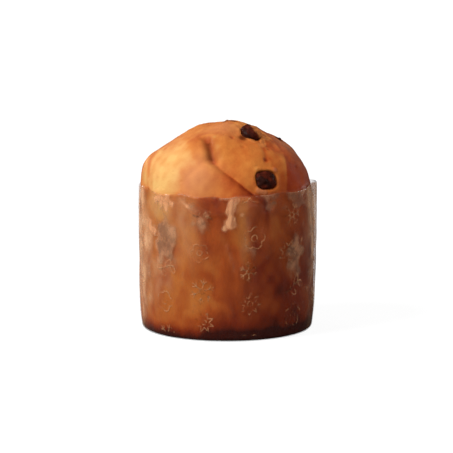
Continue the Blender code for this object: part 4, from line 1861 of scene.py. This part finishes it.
    def crust_behind(self, azimuth: Array, height: Array) -> Array:
        """Radius of the crust at a height, below the waist and in the foot of the dome.

        Args:
            azimuth: In radians.
            height: Above the foot, in metres.

        Returns:
            Metres, one for each place.
        """
        side = CASE.crust_side(azimuth, np.minimum(height, DOME.centre))
        up = np.clip(height - DOME.centre, 0, None)
        reach = DOME.reach(spherical(azimuth, np.arcsin(np.clip(up / DOME.radius, 0, 0.9))))
        dome = np.sqrt(np.maximum(reach**2 - up**2, 0))
        return np.where(height > DOME.centre, np.minimum(dome, side + 0.3 * MM), side)


# ---------------------------------------------------------------- printed pattern

class Motif(Enum):
    """Kinds of outline in the printed pattern."""

    ROSETTE = "rosette"
    STAR = "star"
    SPRIG = "sprig"
    CRYSTAL = "crystal"


@dataclass(frozen=True)
class Pattern:
    """A festive outline pattern in a half-drop layout, printed round the case."""

    line: float = 0.56 * MM
    thickness: float = 0.05 * MM
    lift: float = 0.03 * MM
    columns: int = 12
    rows: int = 5
    bottom: float = 1.0 * MM
    step: float = 0.45 * MM
    jitter: float = 1.8 * MM
    turns: Span = (-0.5, 0.5)
    scales: Span = (1.0, 1.35)
    seed: int = 3
    clear_of_edges: Span = (2.6 * MM, 56.6 * MM)
    # Sizes of the motifs in millimetres.
    petal: Span = (2.5, 1.1)  # radius between the petals, and how much more on them
    star_radii: Span = (3.9, 1.9)
    stem: Span = (4.2, 0.9)  # half-length and sway
    stem_turn: float = 2.2
    leaf: Span = (1.5, 0.8)  # half-length and half-width
    leaf_lean: float = 52  # degrees
    leaf_places: tuple[tuple[float, int], ...] = ((-0.7, 1), (-0.25, -1), (0.2, 1), (0.65, -1))
    arm: Span = (0.8, 3.9)  # where an arm of the crystal starts and ends
    barb: tuple[float, float, float] = (2.3, 3.3, 1.0)  # foot, end and half-width of its barbs
    middles: tuple[float, float, float] = (1.0, 0.9, 0.8)  # inner rings: rosette, star, crystal

    def outlines(self, motif: Motif) -> list[tuple[Array, bool]]:
        """The motif's lines as flat points in metres, each with whether it is closed.

        Args:
            motif: Which one.

        Returns:
            The lines.
        """
        turn = np.linspace(0, 2 * math.pi, 73)[:-1]
        circle = np.stack([np.cos(turn), np.sin(turn)], axis=-1) * MM
        rosette_middle, star_middle, crystal_middle = self.middles
        if motif is Motif.ROSETTE:
            between, more = self.petal
            petals = between + more * np.abs(np.cos(2.5 * turn)) ** 0.7
            return [(circle * petals[:, None], True), (circle * rosette_middle, True)]
        if motif is Motif.STAR:
            corners = np.arange(16) * math.pi / 8
            radii = np.where(np.arange(16) % 2 == 0, *self.star_radii)
            star = np.stack([np.cos(corners), np.sin(corners)], axis=-1) * radii[:, None] * MM
            return [(star, True), (circle * star_middle, True)]
        if motif is Motif.SPRIG:
            return self.sprig(turn)
        lines = []
        barb_foot, barb_end, barb_width = self.barb
        for angle in np.arange(6) * math.pi / 3:
            heading = np.array([math.cos(angle), math.sin(angle)])
            across = barb_width * np.array([-heading[1], heading[0]])
            tip = [barb_end * heading + across, barb_foot * heading, barb_end * heading - across]
            lines.append((np.outer(self.arm, heading) * MM, False))
            lines.append((np.array(tip) * MM, False))
        return lines + [(circle * crystal_middle, True)]

    def sprig(self, turn: Array) -> list[tuple[Array, bool]]:
        """A swaying stem with leaves on both sides.

        Args:
            turn: Angles once round a leaf.

        Returns:
            The lines, as outlines gives them.
        """
        (length, sway), (leaf_length, leaf_width) = self.stem, self.leaf
        along = np.linspace(-1, 1, 24)
        stem = np.stack([length * along, sway * np.sin(self.stem_turn * along)], axis=-1)
        leaf = np.stack([leaf_length * (1 - np.cos(turn)), leaf_width * np.sin(turn)], axis=-1)
        lines = [(stem * MM, False)]
        for place, side in self.leaf_places:
            foot = np.array([length * place, sway * math.sin(self.stem_turn * place)])
            lean = math.radians(self.leaf_lean * side)
            turned = [[math.cos(lean), math.sin(lean)], [-math.sin(lean), math.cos(lean)]]
            lines.append(((foot + leaf @ np.array(turned)) * MM, True))
        return lines

    def motif_objects(self) -> bpy.types.Collection:
        """One curve object for each motif, in a collection that isn't shown.

        Returns:
            The collection.
        """
        collection = bpy.data.collections.new("motifs")
        for motif in Motif:
            curve = bpy.data.curves.new(motif.value, "CURVE")
            for points, closed in self.outlines(motif):
                spline = curve.splines.new("POLY")
                spline.points.add(len(points) - 1)
                for knot, (x, y) in zip(spline.points, points):
                    knot.co = (x, y, 0, 1)
                spline.use_cyclic_u = closed
            collection.objects.link(bpy.data.objects.new(motif.value, curve))
        return collection

    def layout(self) -> bpy.types.NodeTree:
        """Node tree that sets the motifs out flat and turns their lines into ribbons.

        Returns:
            The tree, with the pattern's sizes as inputs.
        """
        tree = bpy.data.node_groups.new("printed pattern", "GeometryNodeTree")
        sockets = {
            "Collection": ("Motifs",),
            "Material": ("Material",),
            "Float": ("Width", "Height", "Line", "Thickness", "Step"),
            "Int": ("Columns", "Rows", "Seed"),
        }
        for kind, names in sockets.items():
            for name in names:
                tree.interface.new_socket(name, in_out="INPUT", socket_type=f"NodeSocket{kind}")
        tree.interface.new_socket("Geometry", in_out="OUTPUT", socket_type="NodeSocketGeometry")
        make = Nodes(tree)
        given = make.node("NodeGroupInput").outputs
        spots = make.node(
            "GeometryNodeMeshGrid",
            {
                "Size X": given["Width"],
                "Size Y": given["Height"],
                "Vertices X": given["Columns"],
                "Vertices Y": given["Rows"],
            },
        ).outputs[0]
        number = make.node("GeometryNodeInputIndex").outputs[0]
        column = make.math("FLOOR", make.math("DIVIDE", number, given["Rows"]))
        odd = make.math("MODULO", column, 2.0)
        row_gap = make.math("DIVIDE", given["Height"], make.math("SUBTRACT", given["Rows"], 1.0))
        drop = make.math("MULTIPLY", odd, make.math("MULTIPLY", row_gap, 0.5))
        jitter = make.node(
            "FunctionNodeRandomValue",
            {
                "Min": (-self.jitter, -self.jitter, 0),
                "Max": (self.jitter, self.jitter, 0),
                "Seed": given["Seed"],
            },
            data_type="FLOAT_VECTOR",
        ).outputs[0]
        moved = make.node("ShaderNodeCombineXYZ", {"Y": drop}).outputs[0]
        offset = make.node("ShaderNodeVectorMath", {0: moved, 1: jitter}, operation="ADD")
        spots = make.node(
            "GeometryNodeSetPosition", {"Geometry": spots, "Offset": offset.outputs[0]}
        ).outputs[0]
        kinds = make.node(
            "GeometryNodeCollectionInfo",
            {"Collection": given["Motifs"], "Separate Children": True, "Reset Children": True},
        ).outputs[0]
        row = make.math("MODULO", number, given["Rows"])
        count = make.math("ADD", row, make.math("MULTIPLY", column, 3.0))
        kind = make.math("MODULO", count, float(len(Motif)))
        turn = self.random_number(make, *self.turns, given["Seed"])
        angle = make.node("ShaderNodeCombineXYZ", {"Z": turn}).outputs[0]
        placed = make.node(
            "GeometryNodeInstanceOnPoints",
            {
                "Points": spots,
                "Instance": kinds,
                "Pick Instance": True,
                "Instance Index": kind,
                "Rotation": angle,
                "Scale": self.random_number(make, *self.scales, given["Seed"]),
            },
        ).outputs[0]
        lines = make.node("GeometryNodeRealizeInstances", {0: placed}).outputs[0]
        lines = make.node(
            "GeometryNodeResampleCurve", {"Curve": lines, "Length": given["Step"]}, mode="LENGTH"
        ).outputs[0]
        lines = make.node("GeometryNodeSetCurveNormal", {0: lines}, mode="Z_UP").outputs[0]
        section = make.node(
            "GeometryNodeCurvePrimitiveQuadrilateral",
            {"Width": given["Line"], "Height": given["Thickness"]},
        ).outputs[0]
        ribbons = make.node(
            "GeometryNodeCurveToMesh", {"Curve": lines, "Profile Curve": section, "Fill Caps": True}
        ).outputs[0]
        dressed = make.node(
            "GeometryNodeSetMaterial", {"Geometry": ribbons, "Material": given["Material"]}
        ).outputs[0]
        make.node("NodeGroupOutput", {0: dressed})
        return tree

    @staticmethod
    def random_number(make: Nodes, low: float, high: float, seed: Socket) -> Socket:
        """A seeded random number for each point."""
        inputs = {2: low, 3: high, "Seed": seed}
        return make.node("FunctionNodeRandomValue", inputs, data_type="FLOAT").outputs[1]

    def build(self) -> None:
        """Lays the pattern out flat, clips it at the paper's edges, and wraps it round the case."""
        around = 2 * math.pi * CASE.radius
        motifs = self.motif_objects()
        values = {
            "Motifs": motifs,
            "Material": PrintFinish().material(),
            "Width": around * (1 - 1 / self.columns),
            "Height": CASE.height - 2 * self.bottom,
            "Line": self.line,
            "Thickness": self.thickness,
            "Step": self.step,
            "Columns": self.columns,
            "Rows": self.rows,
            "Seed": self.seed,
        }
        flat = run_nodes("print", self.layout(), values)
        for helper in list(motifs.objects):
            bpy.data.objects.remove(helper)
        bpy.data.collections.remove(motifs)
        flat.transform(Matrix.Translation((0, CASE.height / 2, 0)))
        self.clip(flat)
        x, y, z = mesh_points(flat).T
        azimuth = FRONT + x / CASE.radius
        height = y * CASE.rim_height(azimuth) / CASE.height
        radius = CASE.paper_outside(azimuth, height) + self.lift + z
        flat.vertices.foreach_set("co", ring(azimuth, radius, height).ravel())
        face_outwards(flat)
        add_piece("print", flat, None)
        LOG.info("print: %d faces", len(flat.polygons))

    def clip(self, flat: bpy.types.Mesh) -> None:
        """Cuts the flat ribbons off along the paper's edges and closes the cuts.

        Args:
            flat: The ribbons, which are changed.
        """
        bm = bmesh.new()
        bm.from_mesh(flat)
        for height, outward in zip(self.clear_of_edges, (-1, 1)):
            everything = bm.verts[:] + bm.edges[:] + bm.faces[:]
            bmesh.ops.bisect_plane(
                bm,
                geom=everything,
                plane_co=(0, height, 0),
                plane_no=(0, outward, 0),
                clear_outer=True,
            )
            bmesh.ops.holes_fill(bm, edges=[edge for edge in bm.edges if edge.is_boundary])
        bm.to_mesh(flat)
        bm.free()


def run_nodes(name: str, tree: bpy.types.NodeTree, values: dict[str, Value]) -> bpy.types.Mesh:
    """The plain mesh that a Geometry Nodes tree makes.

    Args:
        name: For the mesh.
        tree: The node tree.
        values: What goes into its inputs, by name.

    Returns:
        The mesh, no longer tied to the nodes.
    """
    helper = bpy.data.objects.new("nodes_helper", bpy.data.meshes.new("nodes_helper"))
    bpy.context.scene.collection.objects.link(helper)
    modifier = helper.modifiers.new("nodes", "NODES")
    modifier.node_group = tree
    for item in tree.interface.items_tree:
        if item.in_out == "INPUT" and item.name in values:
            modifier[item.identifier] = values[item.name]
    bpy.context.view_layer.update()
    mesh = settled(helper)
    mesh.name = name
    return mesh


def face_outwards(mesh: bpy.types.Mesh) -> None:
    """Turns every closed part of the mesh's faces outwards.

    Args:
        mesh: The one to change.
    """
    bm = bmesh.new()
    bm.from_mesh(mesh)
    bmesh.ops.recalc_face_normals(bm, faces=bm.faces)
    bm.to_mesh(mesh)
    bm.free()


# ---------------------------------------------------------------- studio

@dataclass(frozen=True)
class Sun:
    """A distant light."""

    name: str
    azimuth: float  # angles in degrees
    elevation: float
    strength: float
    softness: float

    def add(self) -> None:
        """Puts the light into the scene."""
        light = bpy.data.lights.new(self.name, "SUN")
        light.energy = self.strength
        light.angle = math.radians(self.softness)
        lamp = bpy.data.objects.new(self.name, light)
        towards = Vector(spherical(np.radians(self.azimuth), np.radians(self.elevation)))
        lamp.rotation_euler = towards.to_track_quat("Z", "Y").to_euler()
        bpy.context.scene.collection.objects.link(lamp)


@dataclass(frozen=True)
class Studio:
    """Pale floor and soft light from the left, with the camera at the front."""

    camera_distance: float = 1.5
    camera_elevation: float = math.radians(9.5)
    camera_range: float = 20.0
    target: tuple[float, float, float] = (-0.0002, 0.0, 0.040)
    view_width: float = 0.1786  # how much the picture spans at the target
    sensor: float = 36.0
    suns: tuple[Sun, ...] = (
        Sun("key", -152, 38, 4.4, 28),
        Sun("fill", -62, 28, 1.25, 60),
        Sun("edge", 135, 13, 1.0, 20),
        Sun("edge", 38, 13, 0.5, 20),
    )
    surroundings: float = 0.26
    floor_reach: float = 6.0
    floor_colour: Colour = (0.12, 0.12, 0.12)
    floor_glow: float = 0.92

    def build(self) -> None:
        """Makes the floor, the world, the lights and the camera."""
        bpy.context.scene.view_settings.view_transform = "Standard"
        self.add_floor()
        self.add_world()
        for sun in self.suns:
            sun.add()
        self.add_camera()

    def add_floor(self) -> None:
        """A wide pale floor, brighter to the camera than to the object, with a faint shadow."""
        reach = self.floor_reach
        mesh = bpy.data.meshes.new("floor")
        corners = [(-reach, -reach, 0), (reach, -reach, 0), (reach, reach, 0), (-reach, reach, 0)]
        mesh.from_pydata(corners, [], [(0, 1, 2, 3)])
        make = Finish("floor")
        seen = make.node("ShaderNodeLightPath").outputs["Is Camera Ray"]
        finish = make.dress(
            Base_Color=self.floor_colour,
            Roughness=0.9,
            Specular_IOR_Level=0.0,
            Emission_Color=(1.0, 1.0, 1.0),
            Emission_Strength=make.math("MULTIPLY", seen, self.floor_glow),
        )
        mesh.materials.append(finish)
        floor = bpy.data.objects.new("floor", mesh)
        bpy.context.scene.collection.objects.link(floor)

    def add_world(self) -> None:
        """White behind the object, and a dim even light from all round."""
        world = bpy.data.worlds.new("studio")
        world.use_nodes = True
        bpy.context.scene.world = world
        make = Nodes(world.node_tree)
        seen = make.node("ShaderNodeLightPath").outputs["Is Camera Ray"]
        behind = make.math("MULTIPLY", seen, 1 - self.surroundings)
        strength = make.math("ADD", self.surroundings, behind)
        backdrop = world.node_tree.nodes["Background"]
        make.put(backdrop.inputs["Color"], (1.0, 1.0, 1.0, 1.0))
        make.put(backdrop.inputs["Strength"], strength)

    def add_camera(self) -> None:
        """The camera, looking down at the photograph's angle."""
        camera = bpy.data.cameras.new("camera")
        camera.sensor_width = self.sensor
        camera.lens = self.sensor * self.camera_distance / self.view_width
        camera.clip_end = self.camera_range
        seat = bpy.data.objects.new("camera", camera)
        away = Vector(spherical(np.array(FRONT), np.array(self.camera_elevation)))
        seat.location = Vector(self.target) + away * self.camera_distance
        seat.rotation_euler = away.to_track_quat("Z", "Y").to_euler()
        bpy.context.scene.collection.objects.link(seat)
        bpy.context.scene.camera = seat


# ---------------------------------------------------------------- the whole


def main() -> None:
    """Loads the frame, dresses it piece by piece, and sets up the studio."""
    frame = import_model()
    Studio().build()
    Crust().build()
    Chips().build(frame["nodes"])
    Film().build()
    Pattern().build()


if __name__ == "__main__":
    main()
